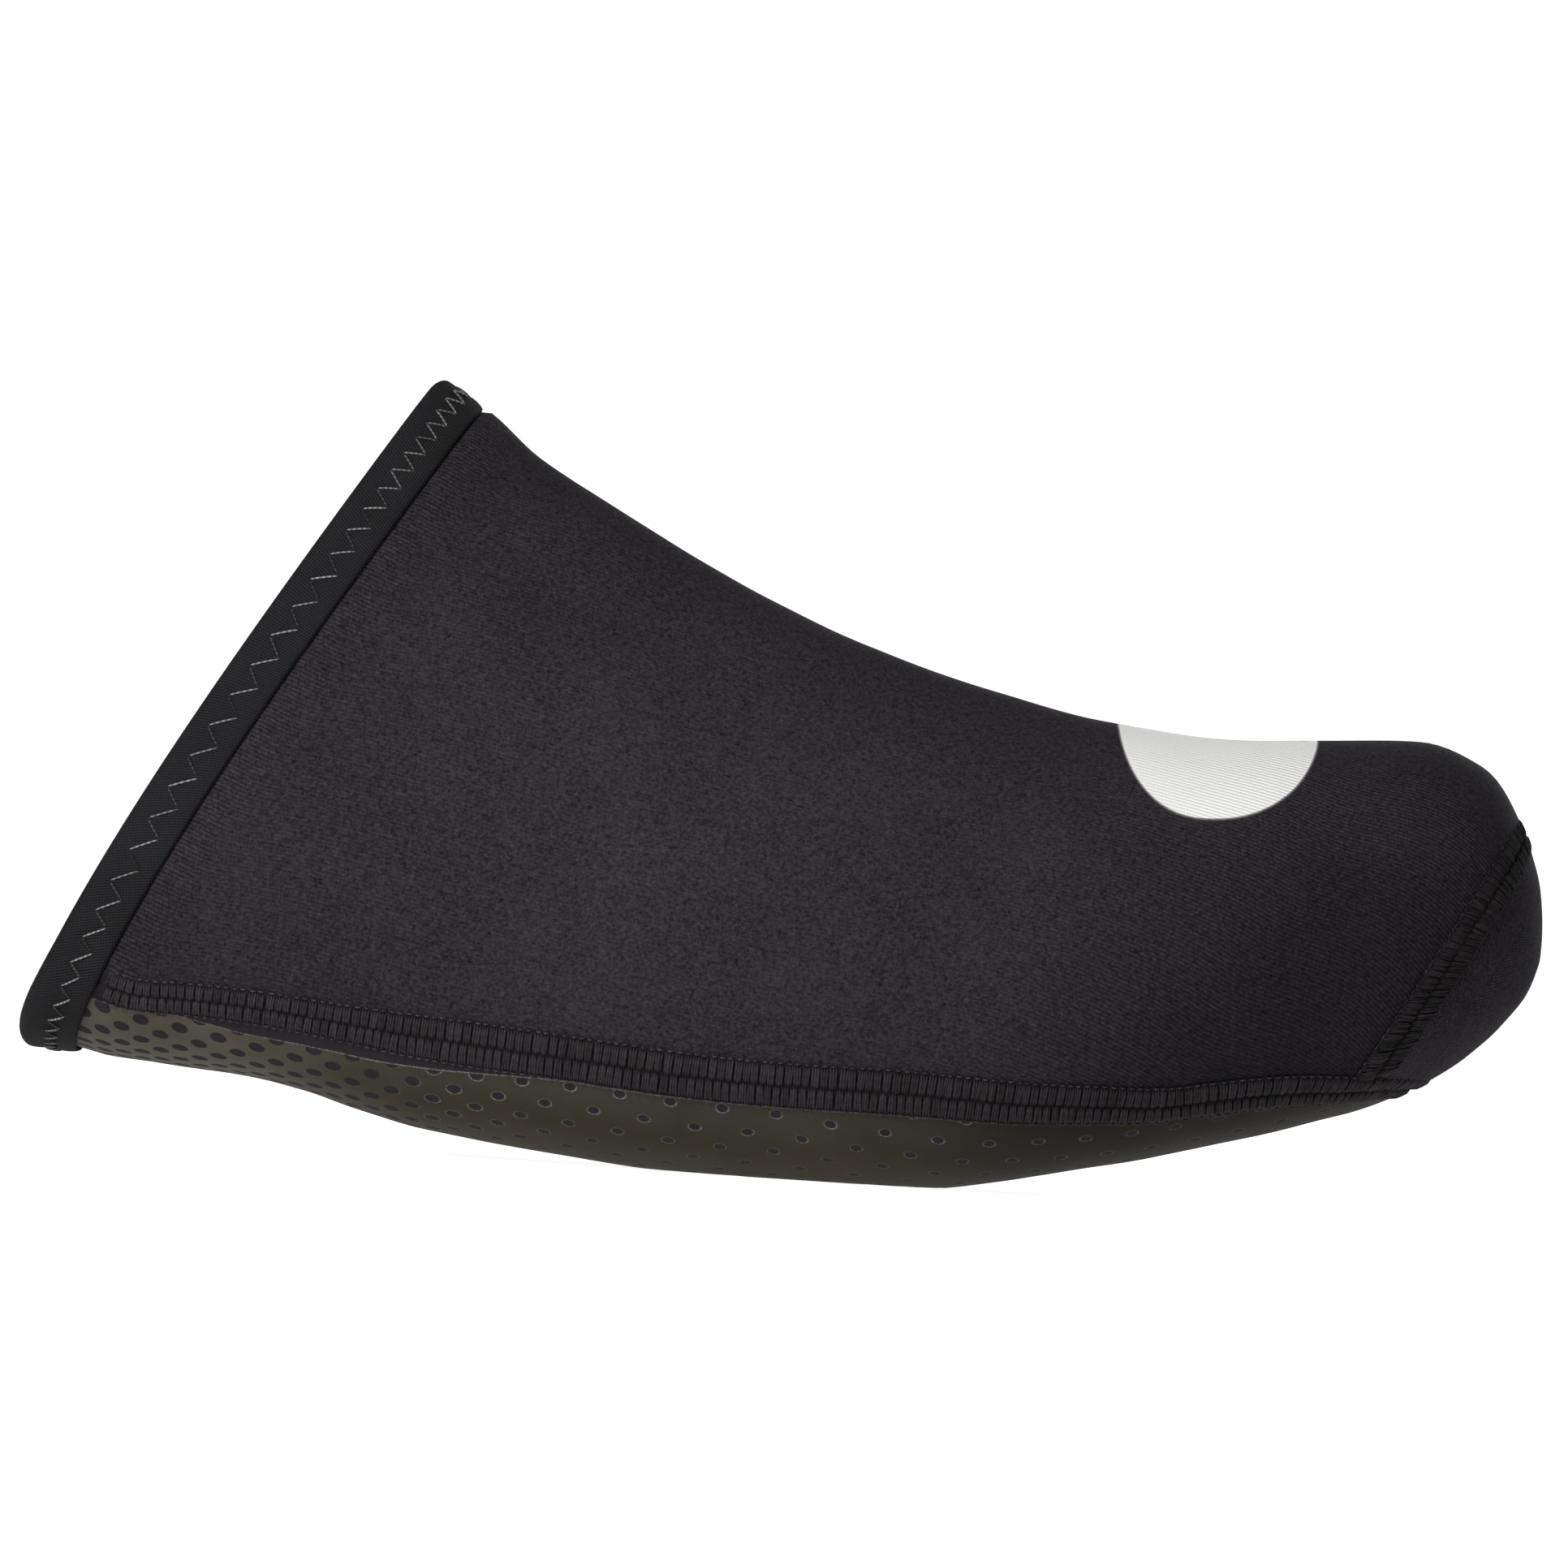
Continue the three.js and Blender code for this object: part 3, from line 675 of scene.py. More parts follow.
def jersey_material(name, settings, painted_toe_shade, with_disc=False):
    shader = Shader(name)
    cloth = shader.attribute("cloth")
    place = shader.place()
    station, _, _ = shader.split(cloth)
    _, _, z = shader.split(place)
    knit = knit_height(shader, cloth, settings)
    by_tape = station.ease(BINDING_WIDTH, BINDING_WIDTH + 7 * MM, 0.78, 0)
    near_collar = station.ease(20 * MM, 60 * MM, 0.45, 0.22)
    near_toe = station.ease(92 * MM, 132 * MM, 0.0, 0.7)
    clear_knit = (near_collar + near_toe + by_tape).smaller(1.0)
    grain = shader.noise(place, 0.24 * MM, 1.0, 0.8)
    speckle = shader.cells(place, 0.24 * MM)
    patches = shader.noise(place, 16 * MM, 3.0, 0.6)
    tint = shader.blend((1.22, 0.92, 0.94), (0.80, 1.04, 1.16), shader.noise(place, 0.8 * MM, 2.0, 0.8))
    # Painted shade: the jersey darkens towards the collar, low on the flank and towards the toe, more the
    # lower it lies, standing in for light that falls off there
    low = z.ease(15 * MM, 50 * MM, 0.84, 1.0)
    toe = station.ease(102 * MM, 144 * MM) * (1 - z.ease(35 * MM, 58 * MM, *painted_toe_shade))
    shade = station.ease(0, 70 * MM, 0.76, 1.0) * low * (1 - toe)
    flecks = shader.noise(place, 0.55 * MM, 1.0, 0.6)
    level = (0.44 * grain + 0.66 * speckle + 1.7 * flecks + 0.5 * patches - 0.6) * shade
    level = level * (1 + (knit - 0.5) * clear_knit * 0.9)
    colour = shader.blend(tuple(settings.jersey), tint, 1.0, "MULTIPLY")
    colour = shader.shade(colour, level)
    roughness = 0.86 + 0.08 * grain
    relief = shader.bump(grain * 0.5 + speckle * 0.3, 0.08 * MM, 0.6)
    normal = shader.bump(knit * clear_knit, 0.10 * MM, 0.9, relief)
    if with_disc:
        reach, _, _ = shader.split(shader.attribute("disc"))
        disc = reach.ease(0.994, 1.0, 1, 0)
        outline = reach.ease(0.978, 0.988) * reach.ease(1.002, 1.014, 1, 0)
        film = shader.shade(tuple(settings.disc), 0.93 + 0.09 * grain + 0.04 * knit)
        colour = shader.blend(colour, film, disc)
        colour = shader.blend(colour, (0.045, 0.035, 0.038), outline * 0.8)
        roughness = roughness * (1 - disc) + 0.5 * disc
    shader.set(Base_Color=colour, Roughness=roughness, Normal=normal, Specular_IOR_Level=0.06)
    return shader.material


def lining_material(settings):
    shader = Shader("jersey_lining")
    place = shader.place()
    x, y, z = shader.split(place)
    ribs = (z / (0.9 * MM) + x / (4 * MM)).wave()
    grain = shader.noise(place, 0.5 * MM, 2.0, 0.6)
    patches = shader.noise(place, 12 * MM, 2.0)
    colour = shader.shade(tuple(settings.lining), 0.6 + 0.4 * grain + 0.25 * patches + 0.08 * ribs)
    shader.set(Base_Color=colour, Roughness=0.9 + 0.05 * grain,
               Normal=shader.bump(ribs * 0.5 + grain, 0.10 * MM, 0.7), Specular_IOR_Level=0.08)
    return shader.material


# The lattice of holes opens out from the collar to the ball. Each row: a place along the floor,
# half a hole's pitch along and across, and how far a middle row lies from the keel, in millimetres
LATTICE = (
    (-92, 2.55, 2.4, 25.5),
    (-76, 2.55, 2.75, 22.5),
    (-61, 2.5, 3.0, 19.6),
    (-45, 2.75, 3.1, 21.8),
    (-28, 3.2, 4.0, 21.5),
    (-7, 3.45, 4.2, 21.5),
    (1, 3.6, 4.2, 21.2),
    (14, 3.6, 4.3, 18.4),
    (28, 3.3, 5.0, 13.6),
    (41, 3.05, 6.1, 8.3),
    (53, 2.8, 6.4, 5.8),
    (75, 2.8, 6.4, 5.0),
)
LATTICE_MIDDLE_X = 0.2 * MM
REAR_LATTICE_X = -56 * MM
FRONT_LATTICE_X = -24 * MM


def coating_material(settings, cloth_settings):
    """A thin coating with a lattice of round holes, through which the jersey shows."""
    shader = Shader("sole_coating")
    place = shader.place()
    x, _, z = shader.split(place)
    a, b, aside = shader.split(shader.attribute("film"))
    forward = x.ease(REAR_LATTICE_X, FRONT_LATTICE_X)
    p, q = (a + b) / 2, (a - b) / 2
    p, q = p - p.rounded(), q - q.rounded()
    half_along, half_across, _ = shader.split(shader.attribute("pitch"))
    along, across = (p + q) * half_along, (p - q) * half_across
    ragged = shader.noise(place, 0.22 * MM, 1.0) - 0.5
    reach = (along * along + across * across) ** 0.5 + ragged * (0.16 * MM)
    rear, front = settings.rear_hole / 2, settings.front_hole / 2
    beyond = reach - (rear + (front - rear) * forward)
    hole = beyond.ease(-0.08 * MM, 0.08 * MM, 1, 0)
    middle = x.ease(-53 * MM, -41 * MM) * x.ease(20 * MM, 60 * MM, 1.0, 0.3)

    margin = 0.2 * MM + x.ease(-82 * MM, -67 * MM, 0, 2.3 * MM) - x.ease(-57 * MM, -25 * MM, 0, 2.1 * MM)
    past_margin = aside - margin + ragged * (0.2 * MM)
    clear_hole = hole * (1 - middle * z.ease(1 * MM, 8 * MM, 0.5, 0))
    coated = past_margin.ease(-0.06 * MM, 0.06 * MM) * (1 - clear_hole)
    # Painted highlight: a pale glint on the holes' rims, stronger on one side of each hole and higher up
    # the sole, and along the coating's raised edge, broken up by noise
    broken = shader.noise(place, 0.34 * MM, 1.0, 0.8).ease(0.38, 0.62)
    high = z.ease(2 * MM, 9 * MM, 0.35, 1.0)
    rim_highlight = beyond.ease(-0.12 * MM, 0.0) * beyond.ease(0.08 * MM, 0.26 * MM, 1, 0)
    rim_highlight = rim_highlight * across.ease(-0.7 * MM, 0.9 * MM, 1.0, 0.35) * middle * high
    rim_highlight = rim_highlight * past_margin.ease(-0.06 * MM, 0.06 * MM)
    edge = past_margin.ease(-0.05 * MM, 0.06 * MM) * past_margin.ease(0.14 * MM, 0.34 * MM, 1, 0)
    edge = edge * x.ease(-90 * MM, -54 * MM, 0.15, 1.0) * x.ease(-36 * MM, 30 * MM, 1.0, 0.2)
    glint = rim_highlight.larger(edge) * (0.25 + 0.75 * broken)

    grain = shader.noise(place, 0.2 * MM, 1.0, 0.8)
    patches = shader.noise(place, 8 * MM, 2.0, 0.6)
    by_seam = aside.ease(2 * MM, 11 * MM, 1, 0) * x.ease(18 * MM, 42 * MM, 1, 0)
    base = shader.blend(tuple(settings.front_coating_and_shade), tuple(settings.seam_side), by_seam)
    # Blend from the rear coating to the front one: partly a real change of colour, partly painted shade
    # towards the front
    base = shader.blend(tuple(settings.rear_coating_and_light), base, x.ease(-76 * MM, -46 * MM))
    # Painted shade: the coating darkens further towards the front, where less light falls
    painted_front_shade = x.ease(8 * MM, 42 * MM, 1.0, 0.34)
    base = shader.shade(base, (0.42 + 0.56 * grain + 0.60 * patches) * painted_front_shade)
    cloth = shader.shade(tuple(cloth_settings.jersey), 0.35 + 0.8 * grain + 0.2 * patches)
    colour = shader.blend(cloth, base, coated)
    colour = shader.blend(colour, tuple(settings.rim_highlight), glint)
    shader.set(Base_Color=colour, Roughness=0.88 - coated * 0.26 + 0.1 * grain)
    relief = shader.bump(grain, 0.05 * MM, 0.6)
    swell = beyond.ease(-0.25 * MM, 0.2 * MM).smaller(past_margin.ease(-0.3 * MM, 0.2 * MM))
    shader.set(Normal=shader.bump(swell, 0.12 * MM, 0.9, relief), Specular_IOR_Level=0.06)
    return shader.material


def tape_material(settings):
    shader = Shader("elastic_tape")
    place = shader.place()
    along, across, _ = shader.split(shader.attribute("tape"))
    _, _, z = shader.split(place)
    slant = z.ease(40 * MM, 85 * MM, 0.40, -0.45)
    ribs = ((along + across * slant) / (0.42 * MM)).wave()
    weave = (across / (0.36 * MM) + (along / (0.42 * MM)).rounded() / 2).wave()
    inner = across.ease(3 * MM, 5 * MM)
    grain = shader.noise(place, 0.22 * MM, 1.0, 0.8)
    patches = shader.noise(place, 8 * MM, 2.0)
    level = 0.27 + (0.30 + 0.04 * inner) * ribs + 0.22 * weave + 0.84 * grain + 0.42 * patches
    # Painted shadow: a dark line along the tape's inner edge, where it meets the jersey
    edge = (across - (BINDING_WIDTH - 0.45 * MM)).ease(0.0, 0.3 * MM)
    # Painted shade: the tape darkens low down
    low = z.ease(12 * MM, 50 * MM, 0.92, 1.0)
    colour = shader.shade(tuple(settings.tape), level * low * (1 - 0.55 * edge))
    shader.set(Base_Color=colour, Roughness=0.82 + 0.12 * grain)
    relief = shader.bump(grain, 0.05 * MM, 0.5)
    shader.set(Normal=shader.bump(ribs * 0.7 + weave * 0.3, 0.07 * MM, 0.8, relief),
               Specular_IOR_Level=0.05)
    return shader.material


def thread_material(name, colour, dimmest, contrast, turns, ply_shade):
    shader = Shader(name)
    place = shader.place()
    shade, twist, _ = shader.split(shader.attribute("strand"))
    plies = (twist * turns + shade).wave()
    grain = shader.noise(place, 0.15 * MM, 1.0, 0.8)
    # Painted shade: each strand darkens at its ends, where it dips into the cloth, and all threads darken
    # towards the toe
    drawn_in_shade = abs(twist - 0.5).ease(0.38, 0.5, 1.0, 0.4)
    x, _, _ = shader.split(place)
    painted_thread_shade = drawn_in_shade * x.ease(-10 * MM, 50 * MM, 1.0, 0.76)
    level = (dimmest + contrast * shade) * (0.6 + 0.8 * grain) * (1 + ply_shade * plies) * painted_thread_shade
    shader.set(Base_Color=shader.shade(tuple(colour), level), Roughness=0.82 + 0.1 * grain)
    shader.set(Normal=shader.bump(plies * 0.5 + grain * 0.6, 0.05 * MM, 0.8),
               Specular_IOR_Level=0.12)
    return shader.material


# The strip under the threads is darker than the jersey: painted shade in the gaps between the threads
SHADED_BED_COLOUR = (0.0078, 0.0070, 0.0080)


def bed_material():
    shader = Shader("seam_bed")
    grain = shader.noise(shader.place(), 0.3 * MM, 2.0)
    shader.set(Base_Color=shader.shade(SHADED_BED_COLOUR, 0.6 + 0.8 * grain), Roughness=0.95,
               Specular_IOR_Level=0.05)
    return shader.material


def fold_rise(station, arc):
    """The rise of the soft folds in the table, each fading out at both ends."""
    at = np.stack([station, arc], axis=-1)
    rise = np.zeros(station.shape)
    for row in FOLDS:
        start, end = np.array(row[0:2]) * MM, np.array(row[2:4]) * MM
        width, height = row[4] * MM, row[5] * MM
        run = end - start
        share = ((at - start) @ run) / (run @ run)
        nearest = start + np.clip(share, 0, 1)[..., None] * run
        off = np.linalg.norm(at - nearest, axis=-1)
        fade = smooth_share(share, -0.1, 0.3) * smooth_share(1 - share, -0.1, 0.3)
        rise += height * fade * np.exp(-((off / (width / 2)) ** 2))
    return rise


def unevenness(points, size, height):
    """Slow soft noise over a grid of points."""
    flat = points.reshape(-1, 3) / size
    values = [noise.noise(Vector(point)) for point in flat]
    return height * np.array(values).reshape(points.shape[:-1])


def laid_grid(points, **kept):
    """A sheet of quads with a vertex at each point of a grid, and the values that its cloth keeps."""
    rows, columns = points.shape[0] - 1, points.shape[1] - 1
    bm = bmesh.new()
    bmesh.ops.create_grid(bm, x_segments=rows, y_segments=columns, size=0.5)
    layers = [(bm.verts.layers.float_vector.new(name), values) for name, values in kept.items()]
    for vert in bm.verts:
        i = round((vert.co.x + 0.5) * rows)
        j = round((vert.co.y + 0.5) * columns)
        vert.co = points[i, j]
        for layer, values in layers:
            vert[layer] = values[i, j]
    bmesh.ops.remove_doubles(bm, verts=bm.verts, dist=0.005 * MM)
    bm.normal_update()
    return bm


def face_outward(bm, outward):
    """Turns an open sheet so that its first faces look the way that outward gives for a point."""
    bm.faces.ensure_lookup_table()
    face = bm.faces[len(bm.faces) // 2]
    if face.normal.dot(Vector(outward)) < 0:
        bmesh.ops.reverse_faces(bm, faces=bm.faces)


def make_piece(bm, name, nodes, materials):
    """The finished object of a mesh, which rides on the root body and stands for its solids."""
    mesh = bpy.data.meshes.new(name)
    bm.to_mesh(mesh)
    bm.free()
    mesh.shade_smooth()
    for material in materials:
        mesh.materials.append(material)
    piece = bpy.data.objects.new(name, mesh)
    bpy.context.scene.collection.objects.link(piece)
    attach(piece, "root")
    if nodes:
        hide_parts(*nodes)
    return piece


def give_wall(piece, thickness):
    """Gives a sheet its thickness inwards, with the next material on the inner face and the rims."""
    wall = piece.modifiers.new("wall", "SOLIDIFY")
    wall.thickness = thickness
    wall.offset = -1
    wall.use_even_offset = True
    wall.thickness_clamp = 1
    wall.material_offset = 1
    wall.material_offset_rim = 1


# Puckers above the sole seam, and the roll of cloth beside the tape, low down and near the ridge
PUCKER_PITCH = 7.3 * MM
PUCKER_RISE = 0.10 * MM
PUCKER_REACH = 4 * MM
ROLL_RISE = 0.45 * MM
ROLL_RISE_BY_RIDGE = 0.85 * MM
ROLL_WIDTH = 9 * MM
ROLL_EDGE = 1.2 * MM


def jersey_sheet(stations, edge, columns, fold_scale):
    """Jersey over the ridge, from one side's edge to the other's, with its folds and puckers."""
    station = stations[:, None] * np.ones(columns + 1)
    share = np.linspace(-1, 1, columns + 1)[None, :]
    around = edge(stations)[:, None] * share
    plain = SKIN.point(station, around)
    run = run_length(plain)
    arc = np.abs(run - run[:, columns // 2][:, None])
    above_seam = arc[:, :1] - arc
    slant = 0.10 * station + 5.0 * np.maximum(station - 95 * MM, 0) ** 2
    rise = fold_rise(station, arc) * fold_scale
    rise += unevenness(plain, 11 * MM, 0.10 * MM) * fold_scale
    puckers = np.sin(2 * math.pi * station / PUCKER_PITCH + 1.3 * np.sin(station / (19 * MM)))
    rise += PUCKER_RISE * puckers * np.exp(-above_seam / PUCKER_REACH) * fold_scale
    held = smooth_share(above_seam, 1 * MM, 6 * MM) * smooth_share(station, 8 * MM, 14 * MM)
    near_toe_seam = np.abs(station - SKIN.toe_seam)
    held *= smooth_share(near_toe_seam, 1.5 * MM, 8 * MM)
    rise = rise * (0.15 + 0.85 * held)
    by_tape = station - BINDING_WIDTH
    roll = mix(ROLL_RISE, ROLL_RISE_BY_RIDGE, smooth_share(-arc, -24 * MM, -8 * MM))
    rise += roll * smooth_share(by_tape, 0, ROLL_EDGE) * smooth_share(-by_tape, -ROLL_WIDTH, -ROLL_EDGE)
    points = SKIN.lifted(station, around, rise)
    cloth = np.stack([station, arc, above_seam + slant], axis=-1)
    along = np.abs(plain[..., 0] - DISC_X) / DISC_ALONG
    reach = (along**DISC_FULLNESS + (arc / DISC_ACROSS) ** DISC_FULLNESS) ** (1 / DISC_FULLNESS)
    disc = np.stack([reach, reach, reach], axis=-1)
    return laid_grid(points, cloth=cloth, disc=disc)


def make_panel(bm, outward, name, node, wall, outer, settings):
    """The finished panel of a sheet, with its wall and its lining, facing outward."""
    face_outward(bm, outward)
    piece = make_piece(bm, name, [node], [outer, lining_material(settings)])
    give_wall(piece, wall)


class TOECOVER_OT_upper(bpy.types.Operator):
    """Makes the jersey upper with its plain reflective disc"""

    bl_idname = "toe_cover.upper"
    bl_label = "Make the upper"

    def execute(self, context):
        settings = context.scene.toe_cover_cloth
        stations = np.linspace(PANEL_START, SKIN.toe_seam - CLEARANCE / 2, UPPER_ROWS)
        bm = jersey_sheet(stations, UPPER_EDGE, UPPER_COLUMNS, settings.fold_scale)
        # Painted toe shade of the upper: about half darker low on the toe, a tenth darker at its top
        jersey = jersey_material("jersey_upper", settings, (0.52, 0.90), with_disc=True)
        make_panel(bm, (0, 0, 1), "upper_jersey", "upper", UPPER_WALL, jersey, settings)
        return {"FINISHED"}


class TOECOVER_OT_toe_bumper(bpy.types.Operator):
    """Makes the jersey bumper round the toe"""

    bl_idname = "toe_cover.toe_bumper"
    bl_label = "Make the toe bumper"

    def execute(self, context):
        settings = context.scene.toe_cover_cloth
        start = SKIN.toe_seam + CLEARANCE / 2
        stations = np.concatenate([
            SKIN.rounded_steps(start, UPPER_FRONT, BUMPER_SIDE_ROWS),
            np.linspace(UPPER_FRONT, SKIN.nose_tip, BUMPER_NOSE_ROWS)[1:],
        ])
        bm = jersey_sheet(stations, UPPER_EDGE, BUMPER_COLUMNS, settings.fold_scale)
        # The bumper takes only a slight painted toe shade
        jersey = jersey_material("jersey_bumper", settings, (0.92, 0.94))
        make_panel(bm, (1, 0, 0.5), "toe_bumper_jersey", "toe_bumper", UPPER_WALL, jersey,
                   settings)
        return {"FINISHED"}


def lattice_place(x, arc):
    """Where a point lies in the lattice of holes, in half pitches along and across, and the half
    pitches there."""
    place, half_along, half_across, middle_row = np.array(LATTICE).T * MM
    line = np.linspace(CAD_LOW.x, CAD_HIGH.x, PATH_SAMPLES)
    phase = np.cumsum(np.gradient(line) / np.interp(line, place, half_along))
    phase -= np.interp(LATTICE_MIDDLE_X, line, phase)
    half_across = np.interp(x, place, half_across)
    across = (arc - np.interp(x, place, middle_row)) / half_across
    return np.interp(x, line, phase), across, np.interp(x, place, half_along), half_across


class TOECOVER_OT_sole(bpy.types.Operator):
    """Makes the coated sole with its lattice of holes"""

    bl_idname = "toe_cover.sole"
    bl_label = "Make the sole"

    def execute(self, context):
        stations = np.concatenate([
            np.linspace(PANEL_START, SKIN.rounding, SOLE_ROWS),
            SKIN.rounded_steps(SKIN.rounding, SOLE_FRONT, SOLE_FRONT_ROWS)[1:],
        ])
        station = stations[:, None] * np.ones(SOLE_COLUMNS + 1)
        share = np.linspace(-1, 1, SOLE_COLUMNS + 1)[None, :]
        around = 2 + share * (2 - SOLE_EDGE(stations))[:, None]
        plain = SKIN.point(station, around)
        run = run_length(plain)
        arc = np.abs(run - run[:, SOLE_COLUMNS // 2][:, None])
        aside = arc[:, :1] - arc - sole_seam_spread(SKIN.section(station)["ribbon"]) / 2
        along, across, half_along, half_across = lattice_place(plain[..., 0], arc)
        film = np.stack([along, across, aside], axis=-1)
        pitch = np.stack([half_along, half_across, 0 * arc], axis=-1)
        off_floor = smooth_share(plain[..., 2], 0.4 * MM, 3 * MM)
        ripples = unevenness(plain * np.array([1, 0.5, 0.5]), 9 * MM, 0.22 * MM)
        lift = ripples * off_floor * smooth_share(aside, 1 * MM, 6 * MM)
        bm = laid_grid(SKIN.lifted(station, around, lift), film=film, pitch=pitch)
        cloth = context.scene.toe_cover_cloth
        coating = coating_material(context.scene.toe_cover_sole, cloth)
        make_panel(bm, (0, 0, -1), "sole_coated", "sole", SOLE_WALL, coating, cloth)
        return {"FINISHED"}


def tape_profile():
    """The folded tape across, as stations and lifts from its outer edge round the fold and back."""
    outside = CLEARANCE
    inside = -max(UPPER_WALL, SOLE_WALL) - CLEARANCE
    middle = (outside + inside) / 2
    radius = outside + BINDING_WALL - middle
    top, low = outside + BINDING_WALL, inside - BINDING_WALL
    angles = np.linspace(math.pi / 2, -math.pi / 2, 13)
    fold = [(BINDING_FOLD_DEPTH * (1 - math.cos(a)), middle + radius * math.sin(a)) for a in angles]
    outer = [(BINDING_WIDTH, outside), (BINDING_WIDTH, top - 0.54 * MM),
             (BINDING_WIDTH - 0.15 * MM, top - 0.40 * MM), (BINDING_WIDTH - 0.5 * MM, top - 0.26 * MM),
             (6.1 * MM, top - 0.12 * MM), (5.4 * MM, top - 0.05 * MM), (4.7 * MM, top - 0.12 * MM),
             (4.0 * MM, top - 0.16 * MM), (3.1 * MM, top - 0.10 * MM), (2.3 * MM, top - 0.01 * MM)]
    inner = [(2.3 * MM, low), (4.0 * MM, low + 0.08 * MM), (5.7 * MM, low), (BINDING_WIDTH - 0.4 * MM, low),
             (BINDING_WIDTH, low + 0.3 * MM), (BINDING_WIDTH, inside),
             (BINDING_FOLD_DEPTH, inside), (BINDING_FOLD_DEPTH, outside), (BINDING_WIDTH, outside)]
    return np.array(outer + fold + inner)


def strand_template(bm, sides, cuts, radius, arch):
    """One strand of unit length on the first axis, arched, with its ends drawn in."""
    turn = Matrix.Rotation(math.pi / 2, 4, "Y")
    bmesh.ops.create_cone(bm, cap_ends=True, cap_tris=False, segments=sides, radius1=radius,
                          radius2=radius, depth=1, matrix=turn)
    long_edges = [edge for edge in bm.edges if abs(edge.verts[0].co.x - edge.verts[1].co.x) > 0.5]
    bmesh.ops.subdivide_edges(bm, edges=long_edges, cuts=cuts)
    for vert in bm.verts:
        share = abs(2 * vert.co.x)
        slim = 1 - 0.5 * share**6
        vert.co.y *= slim
        vert.co.z = vert.co.z * slim + arch * (1 - share**3)


def lay_strands(strands, sides, cuts, radius, arch, path):
    """Copies a strand to each place of a list, flat, then lays them all on the skin. A place is
    the two ends on the flat path, the lift, the width's scale and a shade."""
    bm = bmesh.new()
    layer = bm.verts.layers.float_vector.new("strand")
    strand_template(bm, sides, cuts, radius, arch)
    strand_size = len(bm.verts)
    shape = np.array([vert.co for vert in bm.verts])
    while len(bm.verts) < strand_size * len(strands):
        bmesh.ops.duplicate(bm, geom=bm.verts[:] + bm.edges[:] + bm.faces[:])
    spare = bm.verts[:][strand_size * len(strands):]
    bmesh.ops.delete(bm, geom=spare, context="VERTS")
    start, end, lift, scale, shade = (np.array(values) for values in zip(*strands))
    run = (end - start)[:, None, :]
    aside = np.stack([-run[..., 1], run[..., 0]], axis=-1) / np.linalg.norm(run, axis=-1, keepdims=True)
    flat_place = ((start + end)[:, None, :] / 2 + shape[None, :, :1] * run
                  + shape[None, :, 1:2] * scale[:, None, None] * aside)
    height = lift[:, None] + shape[None, :, 2] * scale[:, None]
    flat = np.concatenate([flat_place, height[..., None]], axis=-1).reshape(-1, 3)
    shades = np.repeat(shade, strand_size)
    twists = np.tile(shape[:, 0] + 0.5, len(strands))
    for vert, point, shade, twist in zip(bm.verts, path.laid(flat), shades, twists):
        vert.co = point
        vert[layer] = (shade, twist, 0)
    return bm


# A bundle of a flat seam, in shares of its pitch: its skew, the spacing of its strands at the
# furrow and at the edge, and half the length of the loop at its end; and how far in from the edge
# its strands stop
BUNDLE_SKEW = 0.12
FURROW_SPACING = 0.25
EDGE_SPACING = 0.32
LOOP_REACH = 0.34
STRAND_INSET = 0.22 * MM


def flat_seam_strands(length, width_at, pitch_size, seed, wild):
    """Two rows of thread bundles that meet in a furrow of pits, and a chain of loops at each edge."""
    chance = random.Random(seed)
    strands = []
    along = 0.6 * pitch_size
    count = 0
    next_slit = 3
    while along < length - 0.5 * pitch_size:
        half = float(width_at(along)) / 2
        pitch = pitch_size * chance.uniform(0.92, 1.08)
        lean = chance.uniform(-0.12, 0.12) * MM * wild
        for side in (-1, 1):
            shade = chance.random()
            start = along + side * BUNDLE_SKEW * pitch
            inner = side * chance.uniform(-0.20, -0.04) * MM
            for i in (-1, 0, 1):
                outer = side * (half - STRAND_INSET + chance.uniform(-0.09, 0.09) * MM * wild)
                lift = CLEARANCE + 0.03 * MM + chance.uniform(-0.05, 0.05) * MM * wild
                furrow_end = (start + i * FURROW_SPACING * pitch, inner + side * abs(i) * 0.16 * MM)
                edge_end = (start + i * EDGE_SPACING * pitch + lean, outer)
                strands.append((furrow_end, edge_end, lift, chance.uniform(0.92, 1.16),
                                0.5 * shade + 0.5 * chance.random()))
            if chance.random() < 1.2 - 0.2 * wild:
                loop = side * (half - chance.uniform(0.02, 0.12) * MM)
                loop_start = (start - LOOP_REACH * pitch + lean, loop)
                loop_end = (start + LOOP_REACH * pitch + lean, loop)
                strands.append((loop_start, loop_end, CLEARANCE - 0.08 * MM, 0.7,
                                0.9 + 1.5 * chance.random()**2))
        count += 1
        along += pitch
        if count == next_slit:
            along += 0.07 * pitch
            next_slit += chance.choice((2, 3, 4))
    return strands


def seam_bed(path, width_at, node):
    """The dark strip that the threads lie on, which stands for the seam's solid; it is darker than the
    jersey as painted shade between the threads.
    """
    rows = int(path.length / BED_ROW)
    along = np.linspace(0, path.length, rows + 1)[:, None] * np.ones(BED_COLUMNS + 1)
    share = np.linspace(-1, 1, BED_COLUMNS + 1)[None, :]
    aside = share * (width_at(along) / 2 - 0.15 * MM)
    lift = CLEARANCE + 0.02 * MM * (1 - share**2) * np.ones_like(along)
    flat = np.stack([along, aside, lift], axis=-1)
    points = path.laid(flat.reshape(-1, 3)).reshape(flat.shape)
    bm = laid_grid(points)
    bm.faces.ensure_lookup_table()
    middle = bm.faces[len(bm.faces) // 2]
    centre = Vector((middle.calc_center_median().x - 0.01, 0, 0.03))
    if middle.normal.dot(middle.calc_center_median() - centre) < 0:
        bmesh.ops.reverse_faces(bm, faces=bm.faces)
    piece = make_piece(bm, node + "_bed", [node], [bed_material(), bed_material()])
    give_wall(piece, 0.25 * MM)


